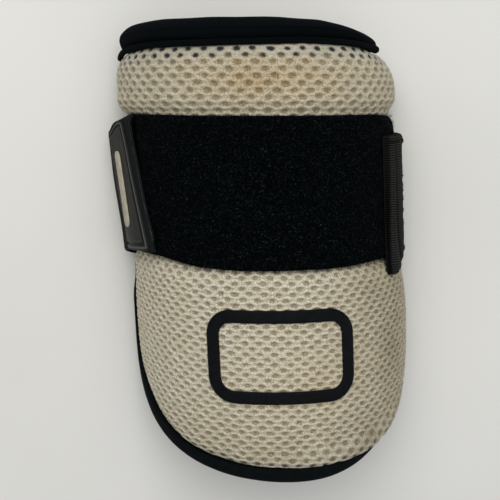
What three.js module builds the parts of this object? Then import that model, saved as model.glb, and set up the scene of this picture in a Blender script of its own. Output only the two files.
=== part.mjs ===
// A padded elbow guard for baseball, lying on a table with its outer side up.
// An arched pad with a cream cover, a black base and a black rim, a padded collar
// roll at the upper end, and one strap that goes right round it.
// Millimetres. +Z is up, +Y points to the collar, and +X to the strap's sewn end.

import * as THREE from "three";

// Driving dimensions of the arched pad
const ARCH_WIDTH = 113;
const ARCH_HEIGHT = 60.5;
const TOP_EDGE_Y = 78;
const END_EDGE_Y = -80;
const TOP_CORNER_LENGTH = 10;
const END_ROUND_LENGTH = 46.4;
const COVER_THICKNESS = 6.6;
const BASE_THICKNESS = 3.8;
const EDGE_ROUND = 7;
const EDGE_SINK = 4.2;
const GAP = 0.3;

// Rim that borders the pad on both sides and round the lower end
const RIM_WIDTH = 5;
const RIM_END_WIDTH = 6.6;
const RIM_THICKNESS = 7.4;
const RIM_SINK = 1.5;
const RIM_RIGHT_SINK = 4;

// Collar roll at the upper end, and the piping between it and the cover
const COLLAR_LENGTH = 9.6;
const COLLAR_THICKNESS = 12;
const COLLAR_OFFSET = 1.2;
const COLLAR_SINK = 0.6;
const PIPING_DIAMETER = 2.4;
const PIPING_OFFSET = -0.3;
const PIPING_SINK = 0.8;
const PIPING_LEFT_REACH = 0.999;
const PIPING_RIGHT_REACH = 0.94;

// Strap: the fuzzy band on the front, and the elastic that closes the loop
const STRAP_WIDTH = 56.4;
const STRAP_MIDDLE_Y = 25.2;
const BAND_THICKNESS = 2;
const BAND_LEFT_ANGLE = 60;
const BAND_RIGHT_ANGLE = 74;
const GROOVE_DEPTH = 2.4;
const GROOVE_SHOULDER = 6;
const ELASTIC_WIDTH = 54.5;
const ELASTIC_MIDDLE_Y = 27.3;
const ELASTIC_THICKNESS = 2;
const ELASTIC_SEWN_ANGLE = 58;
const ELASTIC_FREE_ANGLE = 53;
const ELASTIC_DRIFT = 9.5;
const FREE_TURN = 12;
const TURN_LENGTH = 44;
const STAND_OFF = 3;
const LEAN_IN = 2.4;
const SIDE_BEND_RADIUS = 3;
const FREE_BEND_RADIUS = 6;
const LIFT_SHOULDER = 12;

// Rubber tab on the elastic's free end
const TAB_LENGTH = 48.5;
const TAB_WIDTH = 19.5;
const TAB_THICKNESS = 1.6;
const TAB_BORDER_WIDTH = 2.6;
const TAB_BORDER_RISE = 1;
const TAB_BORDER_SLOPE = 0.25;
const TAB_CORNER = 4;
const TAB_INSET = 4.6;

// Plain raised marks on the front and on the tab
const MARK_RISE = 0.7;
const MARK_WIDTH = 58;
const MARK_HEIGHT = 36;
const MARK_STROKE = 4.8;
const MARK_CORNER = 10;
const MARK_MIDDLE_Y = -36;
const TAB_MARK_LENGTH = 30;
const TAB_MARK_WIDTH = 5;
const TAB_MARK_ROUNDING = 0.9;

// Sections of the arch. Along is a share of the pad's length from its top edge, shift
// and width are shares of half the arch's width, and height is one of the arch's.
const SECTIONS = [
  { along: 0.0, shift: 0.035, width: 0.98, height: 0.965 },
  { along: 0.08, shift: 0.075, width: 1.015, height: 0.99 },
  { along: 0.2, shift: 0.09, width: 1.0, height: 1.0 },
  { along: 0.5, shift: 0.13, width: 1.0, height: 1.0 },
  { along: 0.62, shift: 0.165, width: 1.03, height: 1.0 },
  { along: 0.78, shift: 0.185, width: 1.03, height: 1.0 },
  { along: 1.0, shift: 0.205, width: 1.0, height: 0.985 },
];

// Stations of the collar roll. Share is of the top edge's half length, and size is of
// the roll's full section.
const COLLAR_STATIONS = [
  { share: -0.94, size: 0.4 },
  { share: -0.92, size: 0.8 },
  { share: -0.88, size: 0.97 },
  { share: -0.78, size: 1.0 },
  { share: -0.62, size: 1.0 },
  { share: -0.46, size: 1.0 },
  { share: -0.3, size: 1.0 },
  { share: -0.15, size: 1.0 },
  { share: 0.0, size: 1.0 },
  { share: 0.15, size: 1.0 },
  { share: 0.3, size: 0.97 },
  { share: 0.45, size: 0.88 },
  { share: 0.58, size: 0.76 },
  { share: 0.7, size: 0.6 },
  { share: 0.79, size: 0.36 },
];

// Corners of the rim's section, as shares of its thickness inwards and of its width
// away from the cover.
const RIM_SECTION = [
  { inward: 0.1, away: 0 },
  { inward: 0, away: 0.16 },
  { inward: 0, away: 0.6 },
  { inward: 0.13, away: 0.88 },
  { inward: 0.34, away: 1 },
  { inward: 0.72, away: 1 },
  { inward: 0.92, away: 0.86 },
  { inward: 1, away: 0.6 },
  { inward: 1, away: 0 },
];

// Rows of the pad's grid near its top edge, as shares of the rounded edge, and beside
// the strap, as shares of the groove's shoulder.
const EDGE_ROWS = [0, 0.12, 0.35, 0.75, 1.3];
const SHOULDER_ROWS = [0, 0.3, 0.6, 1];
const COVER_COLUMNS = 26;
const BASE_COLUMNS = 18;
const TANGENT_ROUNDS = 40;
const TOP_CORNER_POWER = 4;
const END_ROUND_POWER = 2.15;
const END_ROW_SHARE = 0.2;
const TOP_FADE_LENGTH = 30;
const ROUND_SECTION_SIDES = 12;

const PAD_LENGTH = TOP_EDGE_Y - END_EDGE_Y;
const END_ROUND_Y = END_EDGE_Y + END_ROUND_LENGTH;
const SIDE_TOP_Y = TOP_EDGE_Y - TOP_CORNER_LENGTH;
const STRAP_TOP_Y = STRAP_MIDDLE_Y + STRAP_WIDTH / 2;
const STRAP_LOW_Y = STRAP_MIDDLE_Y - STRAP_WIDTH / 2;
const ELASTIC_TOP_Y = ELASTIC_MIDDLE_Y + ELASTIC_WIDTH / 2;
const ELASTIC_LOW_Y = ELASTIC_MIDDLE_Y - ELASTIC_WIDTH / 2 - ELASTIC_DRIFT;
const QUARTER_TURN = Math.PI / 2;

const radians = (degrees) => (degrees * Math.PI) / 180;
const between = (a, b, t) => a + (b - a) * t;
const steps = (count) => Array.from({ length: count + 1 }, (_, k) => k / count);

function smoothStep(low, high, value) {
  const t = Math.min(1, Math.max(0, (value - low) / (high - low)));
  return t * t * (3 - 2 * t);
}

// How far a quarter of a rounded square still reaches at a share of its other half axis.
const roundReach = (share, power) => (1 - Math.min(1, Math.abs(share)) ** power) ** (1 / power);

function sectionValue(column, y) {
  const along = (TOP_EDGE_Y - y) / PAD_LENGTH;
  let k = 0;
  while (k < SECTIONS.length - 2 && along > SECTIONS[k + 1].along) k += 1;
  const [a, b] = [SECTIONS[k], SECTIONS[k + 1]];
  const t = Math.min(1, Math.max(0, (along - a.along) / (b.along - a.along)));
  return between(a[column], b[column], t);
}

const middleX = (y) => (sectionValue("shift", y) * ARCH_WIDTH) / 2;
const halfWidth = (y) => (sectionValue("width", y) * ARCH_WIDTH) / 2;
const crownHeight = (y) => sectionValue("height", y) * ARCH_HEIGHT;

// A point of the arch at a turn from its crown, at a depth under its outer face.
function archPoint(y, angle, depth) {
  const x = middleX(y) + (halfWidth(y) - depth) * Math.sin(angle);
  return new THREE.Vector3(x, y, (crownHeight(y) - depth) * Math.cos(angle));
}

function archNormal(y, angle) {
  const x = Math.sin(angle) / halfWidth(y);
  return new THREE.Vector3(x, 0, Math.cos(angle) / crownHeight(y)).normalize();
}

// How far the strap presses the pad in.
function grooveDepth(y) {
  const past = Math.abs(y - STRAP_MIDDLE_Y) - STRAP_WIDTH / 2;
  return GROOVE_DEPTH * (1 - smoothStep(0, GROOVE_SHOULDER, past));
}

// How far the elastic under the pad holds the rim off the table.
function rimLift(y) {
  const above = smoothStep(0, LIFT_SHOULDER, y - ELASTIC_TOP_Y);
  const below = smoothStep(0, LIFT_SHOULDER, ELASTIC_LOW_Y - y);
  return (ELASTIC_THICKNESS + GAP) * (1 - above) * (1 - below);
}

// The turn from the crown at which the cover and the base end at the side, where they
// stand level on the rim at any depth.
function sideAngle(y, depth) {
  const foot = RIM_WIDTH + GAP + rimLift(y);
  return Math.acos(foot / (crownHeight(y) - depth));
}

// A point of the pad at a share of the turn to its side.
const padPoint = ({ y, share }, depth) => archPoint(y, share * sideAngle(y, depth), depth);

// How much of the side's turn is left where the lower end is rounded off.
function endShare(y) {
  const past = Math.max(0, END_ROUND_Y - y);
  return roundReach(past / END_ROUND_LENGTH, END_ROUND_POWER);
}

// How far the top edge lies back from its middle, at a share of its half length.
const topDrop = (share) => TOP_CORNER_LENGTH * (1 - roundReach(share, TOP_CORNER_POWER));

// A place of the pad's grid: row is its y at the crown, and across runs from -1 to 1.
function padPlace(row, across) {
  const fade = smoothStep(TOP_EDGE_Y - TOP_FADE_LENGTH, TOP_EDGE_Y, row);
  const y = row - topDrop(across) * fade;
  return { y, share: across * endShare(row), edge: edgeDistance(row, y, across) };
}

// The distance to the nearest edge of the cover.
function edgeDistance(row, y, across) {
  const radius = (halfWidth(y) + crownHeight(y)) / 2;
  const side = (1 - Math.abs(across)) * endShare(row) * sideAngle(y, 0) * radius;
  const top = (TOP_EDGE_Y - row) * (1 - TOP_CORNER_LENGTH / TOP_FADE_LENGTH);
  const tip = roundReach(across * endShare(row), END_ROUND_POWER) * END_ROUND_LENGTH;
  const end = y - (END_ROUND_Y - tip);
  const round = y < END_ROUND_Y ? (side * end) / Math.max(Math.hypot(side, end), GAP) : side;
  return Math.max(0, Math.min(round, top));
}

// The cover's outer face sinks towards its edges, as a filled pad does.
function coverDepth({ y, edge }) {
  const t = Math.max(0, 1 - edge / EDGE_ROUND);
  return grooveDepth(y) + EDGE_SINK * (1 - Math.sqrt(1 - t * t));
}

// Rows of the pad's grid, closer together where the form turns.
function padRows() {
  const edge = EDGE_ROWS.map((share) => TOP_EDGE_Y - share * EDGE_ROUND);
  const shoulder = SHOULDER_ROWS.map((share) => share * GROOVE_SHOULDER);
  const upper = shoulder.map((past) => STRAP_TOP_Y + past).reverse();
  const lower = shoulder.map((past) => STRAP_LOW_Y - past);
  const strap = steps(4).slice(1, -1).map((t) => between(STRAP_TOP_Y, STRAP_LOW_Y, t));
  const front = steps(3).slice(1, -1).map((t) => between(lower.at(-1), END_ROUND_Y, t));
  const lastTurn = Math.acos(END_ROW_SHARE ** (END_ROUND_POWER / 2));
  const round = steps(10).map((t) => {
    const reach = Math.sin(t * lastTurn) ** (2 / END_ROUND_POWER);
    return END_ROUND_Y - END_ROUND_LENGTH * reach;
  });
  return [...edge, ...upper, ...strap, ...lower, ...front, ...round];
}

// Columns from the left side to the right, closer together at the sides.
const padColumns = (count) => steps(count).map((t) => Math.sin(between(-1, 1, t) * QUARTER_TURN));

// A closed solid from two faces of one grid, the outer above the inner, with four edges.
// Seen from outside with +Y up, rows run down and columns run to the right.
function sheetSolid(rows, columns, outer, inner) {
  const pointsOf = (face) => rows.flatMap((r) => columns.map((c) => face(r, c)));
  const points = [...pointsOf(outer), ...pointsOf(inner)];
  const [high, wide] = [rows.length, columns.length];
  const top = (r, c) => r * wide + c;
  const low = (r, c) => high * wide + r * wide + c;
  const faces = [];
  const quad = (a, b, c, d) => faces.push(a, b, c, a, c, d);
  for (let r = 0; r + 1 < high; r += 1) {
    for (let c = 0; c + 1 < wide; c += 1) {
      quad(top(r, c), top(r + 1, c), top(r + 1, c + 1), top(r, c + 1));
      quad(low(r, c), low(r, c + 1), low(r + 1, c + 1), low(r + 1, c));
    }
    quad(top(r + 1, 0), top(r, 0), low(r, 0), low(r + 1, 0));
    quad(top(r, wide - 1), top(r + 1, wide - 1), low(r + 1, wide - 1), low(r, wide - 1));
  }
  for (let c = 0; c + 1 < wide; c += 1) {
    quad(top(0, c), top(0, c + 1), low(0, c + 1), low(0, c));
    quad(top(high - 1, c + 1), top(high - 1, c), low(high - 1, c), low(high - 1, c + 1));
  }
  return geometryOf(points, faces);
}

function geometryOf(points, faces) {
  const geometry = new THREE.BufferGeometry().setFromPoints(points);
  return geometry.setIndex(faces);
}

// A closed solid along a path of sections that hold the same number of points.
// Closed joins the last section to the first, and otherwise both ends get a cap.
function sweptSolid(sections, closed) {
  const sides = sections[0].length;
  const faces = [];
  const joints = closed ? sections.length : sections.length - 1;
  for (let k = 0; k < joints; k += 1) {
    const [here, next] = [k * sides, ((k + 1) % sections.length) * sides];
    for (let i = 0; i < sides; i += 1) {
      const j = (i + 1) % sides;
      faces.push(here + i, here + j, next + j, here + i, next + j, next + i);
    }
  }
  const last = joints * sides;
  for (let i = 1; !closed && i + 1 < sides; i += 1) {
    faces.push(0, i + 1, i);
    faces.push(last, last + i, last + i + 1);
  }
  return geometryOf(sections.flat(), faces);
}

// Sections along the pad's edge. Out points away from the arch, and away points from
// the cover's edge off the pad; turn is 1 along the lower edge and -1 along the top.
function edgeSections(places, turn, sectionAt) {
  const path = places.map((place) => padPoint(place, place.depth));
  return path.map((point, k) => {
    const ahead = path[Math.min(k + 1, path.length - 1)];
    const behind = path[Math.max(k - 1, 0)];
    const along = ahead.clone().sub(behind).normalize();
    const { y, share } = places[k];
    const out = archNormal(y, share * QUARTER_TURN);
    const away = along.clone().cross(out).normalize().multiplyScalar(turn);
    const corners = sectionAt(places[k]).map(([inward, beyond]) =>
      point.clone().addScaledVector(out, -inward).addScaledVector(away, beyond),
    );
    return turn > 0 ? corners : corners.reverse();
  });
}

function makeCoverPad() {
  const face = (depthAt) => (row, across) => {
    const place = padPlace(row, across);
    return padPoint(place, depthAt(place));
  };
  const underDepth = ({ y }) => grooveDepth(y) + COVER_THICKNESS;
  return sheetSolid(padRows(), padColumns(COVER_COLUMNS), face(coverDepth), face(underDepth));
}

function makeBasePad() {
  const face = (depth) => (row, across) => {
    const place = padPlace(row, across);
    return padPoint(place, grooveDepth(place.y) + depth);
  };
  const under = COVER_THICKNESS + GAP;
  return sheetSolid(padRows(), padColumns(BASE_COLUMNS), face(under), face(under + BASE_THICKNESS));
}

// Places down the left side, round the lower end and up the right side.
function lowerEdgePlaces() {
  const shoulder = [0, LIFT_SHOULDER / 2, LIFT_SHOULDER];
  const above = shoulder.map((past) => ELASTIC_TOP_Y + past).reverse();
  const under = steps(4).slice(1, -1).map((t) => between(ELASTIC_TOP_Y, ELASTIC_LOW_Y, t));
  const below = shoulder.map((past) => ELASTIC_LOW_Y - past);
  const straight = [...above, ...under, ...below];
  const side = straight.filter((y) => y > END_ROUND_Y + 1).map((y) => ({ y, share: 1 }));
  const round = steps(14).map((t) => ({
    y: END_ROUND_Y - END_ROUND_LENGTH * Math.sin(t * QUARTER_TURN) ** (2 / END_ROUND_POWER),
    share: Math.cos(t * QUARTER_TURN) ** (2 / END_ROUND_POWER),
  }));
  const left = [{ y: SIDE_TOP_Y, share: 1 }, ...side, ...round];
  const right = left.slice(0, -1).reverse();
  const signed = [...left.map((p) => ({ ...p, share: -p.share })), ...right];
  const sink = (share) => between(RIM_SINK, RIM_RIGHT_SINK, smoothStep(0, 0.7, share));
  return signed.map(({ y, share }) => ({ y, share, depth: grooveDepth(y) + sink(share) }));
}

function makeRim() {
  const sectionAt = ({ share }) => {
    const width = between(RIM_END_WIDTH, RIM_WIDTH, share * share);
    return RIM_SECTION.map(({ inward, away }) => [inward * RIM_THICKNESS, GAP + away * width]);
  };
  return sweptSolid(edgeSections(lowerEdgePlaces(), 1, sectionAt), false);
}

const topEdgePlace = (share, depth) => {
  const y = TOP_EDGE_Y - topDrop(share);
  return { y, share, depth };
};

// An oval section whose middle is at a depth, and whose near side is at an offset.
function roundSection(length, thickness, offset, middle) {
  return steps(ROUND_SECTION_SIDES).slice(1).map((t) => {
    const turn = t * 2 * Math.PI;
    const inward = middle - (thickness / 2) * Math.cos(turn);
    return [inward, offset + (length / 2) * (1 + Math.sin(turn))];
  });
}

function makeCollarRoll() {
  const placeAt = ({ share, size }) => ({ ...topEdgePlace(share, COLLAR_SINK), size });
  const places = COLLAR_STATIONS.map(placeAt);
  const middle = COLLAR_THICKNESS / 2;
  const sectionAt = ({ size }) =>
    roundSection(COLLAR_LENGTH * size, COLLAR_THICKNESS * size, COLLAR_OFFSET, middle);
  return sweptSolid(edgeSections(places, -1, sectionAt), false);
}

function makePiping() {
  const ends = [-Math.asin(PIPING_LEFT_REACH), Math.asin(PIPING_RIGHT_REACH)];
  const places = steps(32).map((t) => topEdgePlace(Math.sin(between(...ends, t)), PIPING_SINK));
  const middle = PIPING_DIAMETER / 2;
  const section = roundSection(PIPING_DIAMETER, PIPING_DIAMETER, PIPING_OFFSET, middle);
  return sweptSolid(edgeSections(places, -1, () => section), false);
}

function makeBand() {
  const rows = steps(6).map((t) => between(STRAP_TOP_Y, STRAP_LOW_Y, t));
  const columns = steps(24).map((t) => radians(between(-BAND_LEFT_ANGLE, BAND_RIGHT_ANGLE, t)));
  const face = (rise) => (y, angle) => archPoint(y, angle, GROOVE_DEPTH - rise);
  return sheetSolid(rows, columns, face(GAP + BAND_THICKNESS), face(GAP));
}

// The elastic's inner face as a route round one section of the pad, from its sewn end
// on the right, down and under the pad, and up to its free end on the left. Each stop
// has its place and the direction away from the pad, and x is from the arch's middle.
// Lean is how much of the free side's lean the stop takes.
function elasticRoute() {
  const over = Math.max(GAP, BAND_THICKNESS + 2 * GAP - GROOVE_DEPTH);
  const a = halfWidth(STRAP_MIDDLE_Y) + over;
  const b = crownHeight(STRAP_MIDDLE_Y) + over;
  const onArch = (angle) => ({
    place: new THREE.Vector2(a * Math.sin(angle), b * Math.cos(angle)),
    out: new THREE.Vector2(Math.sin(angle) / a, Math.cos(angle) / b).normalize(),
    lean: 0,
  });
  const onBend = (x, radius, lean) => (turn) => {
    const out = new THREE.Vector2(Math.cos(turn), Math.sin(turn));
    const centre = new THREE.Vector2(x, ELASTIC_THICKNESS + radius);
    return { place: centre.addScaledVector(out, radius), out, lean };
  };
  const sideTurn = Math.acos((ELASTIC_THICKNESS + SIDE_BEND_RADIUS) / b);
  const sideX = a * Math.sin(sideTurn) - SIDE_BEND_RADIUS;
  const freeX = FREE_BEND_RADIUS - halfWidth(STRAP_MIDDLE_Y) - STAND_OFF;
  const freeTurn = commonTangent(onArch, freeX);
  const leave = onArch(freeTurn).out.angle();
  const sewn = steps(5).map((t) => onArch(between(radians(ELASTIC_SEWN_ANGLE), sideTurn, t)));
  const onSide = onBend(sideX, SIDE_BEND_RADIUS, 0);
  const sideBend = steps(4).map((t) => onSide(-t * QUARTER_TURN));
  const onFree = onBend(freeX, FREE_BEND_RADIUS, 1);
  const freeBend = steps(6).map((t) => onFree(between(-QUARTER_TURN, leave - 2 * Math.PI, t)));
  const freeEnd = steps(3).map((t) => onArch(between(freeTurn, -radians(ELASTIC_FREE_ANGLE), t)));
  const past = (Math.tan(radians(FREE_TURN)) * ELASTIC_WIDTH) / b - radians(ELASTIC_FREE_ANGLE);
  return [...sewn, ...sideBend, ...freeBend, ...freeEnd, onArch(past)];
}

// The turn at which a straight stretch leaves the arch to touch the bend on the table.
function commonTangent(onArch, bendX) {
  const centre = new THREE.Vector2(bendX, ELASTIC_THICKNESS + FREE_BEND_RADIUS);
  let [near, far] = [radians(-ELASTIC_FREE_ANGLE / 2), -QUARTER_TURN];
  for (let k = 0; k < TANGENT_ROUNDS; k += 1) {
    const turn = (near + far) / 2;
    const { place, out } = onArch(turn);
    const clear = place.clone().sub(centre).dot(out) - FREE_BEND_RADIUS;
    if (clear > 0) near = turn;
    else far = turn;
  }
  return near;
}

// The route's stops with their distance from the free end. The first lies before it,
// where a corner of the turned end reaches.
function measuredRoute() {
  const stops = elasticRoute().reverse();
  let distance = -stops[0].place.distanceTo(stops[1].place);
  return stops.map((stop, k) => {
    if (k > 0) distance += stop.place.distanceTo(stops[k - 1].place);
    return { ...stop, distance };
  });
}

const ROUTE = measuredRoute();

// The free end is turned in the strap's plane, so that the elastic drifts towards the
// lower end as it goes round.
function driftAt(distance) {
  const length = (2 * ELASTIC_DRIFT) / Math.tan(radians(FREE_TURN));
  const left = 1 - Math.min(distance, length) / length;
  return ELASTIC_DRIFT * (1 - left * left);
}

// A point over the elastic's route: distance is from the free end, along is from the
// elastic's middle line, and rise is from its inner face. Where it stands off the pad,
// its lower edge leans in to the pad.
function routePoint(distance, along, rise) {
  const turned = Math.tan(radians(FREE_TURN)) * (1 - smoothStep(0, TURN_LENGTH, distance));
  const reach = distance + turned * along;
  let k = 0;
  while (k < ROUTE.length - 2 && reach > ROUTE[k + 1].distance) k += 1;
  const [a, b] = [ROUTE[k], ROUTE[k + 1]];
  const t = (reach - a.distance) / (b.distance - a.distance);
  const out = a.out.clone().lerp(b.out, t).normalize();
  const place = a.place.clone().lerp(b.place, t).addScaledVector(out, rise);
  const y = ELASTIC_MIDDLE_Y + along - driftAt(distance);
  const widening = halfWidth(y) / halfWidth(STRAP_MIDDLE_Y);
  const lean = between(a.lean, b.lean, t) * LEAN_IN * (0.5 - along / ELASTIC_WIDTH);
  return new THREE.Vector3(middleX(y) + place.x * widening + lean, y, place.y);
}

function makeElastic() {
  const rows = steps(6).map((t) => ELASTIC_WIDTH * (0.5 - t));
  const flat = ROUTE.findIndex(({ out }) => out.y === -1);
  const flatEnds = [ROUTE[flat].distance, ROUTE[flat + 1].distance];
  const extra = steps(3).slice(1, -1).map((t) => between(...flatEnds, t));
  const stops = ROUTE.slice(1).map((stop) => stop.distance);
  const columns = [...stops, ...extra].sort((p, q) => q - p);
  const face = (rise) => (along, distance) => routePoint(distance, along, rise);
  return sheetSolid(rows, columns, face(ELASTIC_THICKNESS), face(0));
}

// How far the tab's rounded corners draw its sides in, at a place along it.
function cornerInset(along, length, corner) {
  const past = Math.max(0, Math.abs(along) - (length / 2 - corner));
  return corner - Math.sqrt(Math.max(0, corner * corner - past * past));
}

function makeTab() {
  const under = ELASTIC_THICKNESS + GAP;
  const inside = TAB_BORDER_WIDTH + TAB_BORDER_SLOPE;
  const lip = steps(3).map((t) => t * Math.min(TAB_CORNER, TAB_BORDER_WIDTH));
  const half = [...lip, inside, TAB_CORNER + inside].map((d) => TAB_LENGTH / 2 - d);
  const rows = [...half, 0, ...half.map((along) => -along).reverse()];
  const near = [0, TAB_BORDER_WIDTH, inside];
  const sides = [...near.map((d) => TAB_WIDTH - d), TAB_WIDTH / 2, ...near.reverse()];
  const onBorder = (along, side) => {
    const fromEnd = TAB_LENGTH / 2 - Math.abs(along);
    return Math.min(fromEnd, side, TAB_WIDTH - side) <= TAB_BORDER_WIDTH;
  };
  const place = (along, side, rise) => {
    const inset = cornerInset(along, TAB_LENGTH, TAB_CORNER);
    const drawn = between(inset, TAB_WIDTH - inset, side / TAB_WIDTH);
    return routePoint(TAB_INSET + drawn, along, under + rise);
  };
  const top = (along, side) => {
    const rise = onBorder(along, side) ? TAB_BORDER_RISE : 0;
    return place(along, side, TAB_THICKNESS + rise);
  };
  const bottom = (along, side) => place(along, side, 0);
  return sheetSolid(rows, sides, top, bottom);
}

function makeTabMark() {
  const floor = ELASTIC_THICKNESS + GAP + TAB_THICKNESS + GAP;
  const rows = steps(12).map((t) => (TAB_MARK_LENGTH / 2) * Math.cos(t * Math.PI));
  const columns = [1, 0.5, 0];
  const round = TAB_MARK_WIDTH / 2;
  const face = (rise) => (along, side) => {
    const inset = cornerInset(along, TAB_MARK_LENGTH, round) * TAB_MARK_ROUNDING;
    const across = between(inset, TAB_MARK_WIDTH - inset, side) - round;
    return routePoint(TAB_INSET + TAB_WIDTH / 2 + across, along, floor + rise);
  };
  return sheetSolid(rows, columns, face(MARK_RISE), face(0));
}

// Places round a rectangle with rounded corners: middle is the corner's centre, and
// turn is the way that the edge faces there.
function roundedOutline(width, height, corner) {
  const [x, y] = [width / 2 - corner, height / 2 - corner];
  const centres = [[x, y], [-x, y], [-x, -y], [x, -y]];
  return centres.flatMap((middle, k) => {
    const next = centres[(k + 1) % centres.length];
    const arc = steps(6).map((t) => ({ middle, turn: (k + t) * QUARTER_TURN }));
    const side = steps(7).slice(1, -1).map((t) => ({
      middle: [between(middle[0], next[0], t), between(middle[1], next[1], t)],
      turn: (k + 1) * QUARTER_TURN,
    }));
    return [...arc, ...side];
  });
}

// A plain frame with rounded corners that lies on the front of the pad.
function makeFrontMark() {
  const radius = (halfWidth(MARK_MIDDLE_Y) + crownHeight(MARK_MIDDLE_Y)) / 2;
  const sections = roundedOutline(MARK_WIDTH, MARK_HEIGHT, MARK_CORNER).map(({ middle, turn }) => {
    const onPad = (inset, rise) => {
      const across = middle[0] + (MARK_CORNER - inset) * Math.cos(turn);
      const along = middle[1] + (MARK_CORNER - inset) * Math.sin(turn);
      return archPoint(MARK_MIDDLE_Y + along, across / radius, -rise);
    };
    const top = GAP + MARK_RISE;
    return [onPad(MARK_STROKE, GAP), onPad(MARK_STROKE, top), onPad(0, top), onPad(0, GAP)];
  });
  return sweptSolid(sections, true);
}

const cream = new THREE.MeshStandardMaterial({ color: 0xbdb49c, roughness: 0.9, metalness: 0 });
const foam = new THREE.MeshStandardMaterial({ color: 0x14171a, roughness: 0.85, metalness: 0 });
const knit = new THREE.MeshStandardMaterial({ color: 0x0d1113, roughness: 0.9, metalness: 0 });
const loops = new THREE.MeshStandardMaterial({ color: 0x07090b, roughness: 1, metalness: 0 });
const webbing = new THREE.MeshStandardMaterial({ color: 0x222422, roughness: 0.85, metalness: 0 });
const rubber = new THREE.MeshStandardMaterial({ color: 0x33352f, roughness: 0.55, metalness: 0 });
const blackPrint = new THREE.MeshStandardMaterial({ color: 0x0e1213, roughness: 0.6, metalness: 0 });
const creamPrint = new THREE.MeshStandardMaterial({ color: 0xb4afa0, roughness: 0.6, metalness: 0 });

const guard = new THREE.Group();
function addPiece(name, geometry, material) {
  const mesh = new THREE.Mesh(geometry, material);
  mesh.name = name;
  guard.add(mesh);
}

addPiece("cover_pad", makeCoverPad(), cream);
addPiece("base_pad", makeBasePad(), foam);
addPiece("rim", makeRim(), foam);
addPiece("collar_roll", makeCollarRoll(), knit);
addPiece("piping", makePiping(), knit);
addPiece("front_band", makeBand(), loops);
addPiece("elastic_strap", makeElastic(), webbing);
addPiece("pull_tab", makeTab(), rubber);
addPiece("tab_mark", makeTabMark(), creamPrint);
addPiece("front_mark", makeFrontMark(), blackPrint);

// The origin is on the table, under the middle of the whole guard.
const box = new THREE.Box3().setFromObject(guard);
guard.position.set(-(box.min.x + box.max.x) / 2, -(box.min.y + box.max.y) / 2, -box.min.z);

export default guard;
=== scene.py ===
"""Looks of a baseball elbow guard that lies on a table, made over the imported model."""

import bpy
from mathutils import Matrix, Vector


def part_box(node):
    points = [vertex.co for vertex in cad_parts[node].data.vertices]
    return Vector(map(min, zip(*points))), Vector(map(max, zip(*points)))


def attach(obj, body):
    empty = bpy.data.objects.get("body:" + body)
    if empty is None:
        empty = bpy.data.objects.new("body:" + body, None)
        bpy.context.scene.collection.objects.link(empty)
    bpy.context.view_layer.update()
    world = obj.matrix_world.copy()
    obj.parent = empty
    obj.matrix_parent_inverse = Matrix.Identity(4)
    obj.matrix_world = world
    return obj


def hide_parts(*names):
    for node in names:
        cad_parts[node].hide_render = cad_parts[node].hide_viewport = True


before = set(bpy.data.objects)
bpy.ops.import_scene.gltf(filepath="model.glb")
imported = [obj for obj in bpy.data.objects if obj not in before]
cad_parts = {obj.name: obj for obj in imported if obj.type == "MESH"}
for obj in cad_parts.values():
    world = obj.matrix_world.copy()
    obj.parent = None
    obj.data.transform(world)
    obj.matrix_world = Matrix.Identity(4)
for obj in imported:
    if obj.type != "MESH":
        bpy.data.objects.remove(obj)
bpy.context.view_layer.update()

import math

import bpy
import numpy as np
from mathutils import Matrix, Vector

MM = 0.001
RNG = np.random.default_rng(7)

# Sizes of the guard in millimetres
ARCH_WIDTH = 113.0
ARCH_HEIGHT = 60.5
TOP_EDGE_Y = 78.0
END_EDGE_Y = -80.0
TOP_CORNER_LENGTH = 10.0
END_ROUND_LENGTH = 46.4
COVER_THICKNESS = 6.6
BASE_THICKNESS = 3.8
EDGE_ROUND = 7.0
EDGE_SINK = 4.2
GAP = 0.3
RIM_WIDTH = 5.0
RIM_END_WIDTH = 6.6
RIM_THICKNESS = 7.4
RIM_SINK = 1.5
RIM_RIGHT_SINK = 4.0
COLLAR_LENGTH = 9.6
COLLAR_THICKNESS = 12.0
COLLAR_OFFSET = 1.2
COLLAR_SINK = 0.6
PIPING_DIAMETER = 2.4
PIPING_OFFSET = -0.3
PIPING_SINK = 0.8
PIPING_LEFT_REACH = 0.975
PIPING_RIGHT_REACH = 0.76
STRAP_WIDTH = 56.4
STRAP_MIDDLE_Y = 25.2
BAND_THICKNESS = 2.0
BAND_LEFT_ANGLE = 60.0
BAND_RIGHT_ANGLE = 74.0
GROOVE_DEPTH = 2.4
GROOVE_SHOULDER = 6.0
ELASTIC_WIDTH = 54.5
ELASTIC_MIDDLE_Y = 27.3
ELASTIC_THICKNESS = 2.0
ELASTIC_SEWN_ANGLE = 58.0
ELASTIC_FREE_ANGLE = 53.0
ELASTIC_DRIFT = 9.5
FREE_TURN = 12.0
TURN_LENGTH = 44.0
STAND_OFF = 3.0
LEAN_IN = 2.4
SIDE_BEND_RADIUS = 3.0
FREE_BEND_RADIUS = 6.0
LIFT_SHOULDER = 12.0
MARK_RISE = 0.7
MARK_WIDTH = 58.0
MARK_HEIGHT = 36.0
MARK_STROKE = 4.8
MARK_CORNER = 10.0
MARK_MIDDLE_Y = -36.0
TAB_MARK_LENGTH = 30.0
TAB_MARK_WIDTH = 5.0
TOP_CORNER_POWER = 4.0
END_ROUND_POWER = 2.15
END_ROW_SHARE = 0.2
TOP_FADE_LENGTH = 30.0

# Share of the length from the top edge, then shift and width as shares of half the
# arch's width, and height as a share of the arch's height.
SECTIONS = np.array(
    [
        (0.0, 0.035, 0.98, 0.965),
        (0.08, 0.075, 1.015, 0.99),
        (0.2, 0.09, 1.0, 1.0),
        (0.5, 0.13, 1.0, 1.0),
        (0.62, 0.165, 1.03, 1.0),
        (0.78, 0.185, 1.03, 1.0),
        (1.0, 0.205, 1.0, 0.985),
    ]
)

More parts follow.
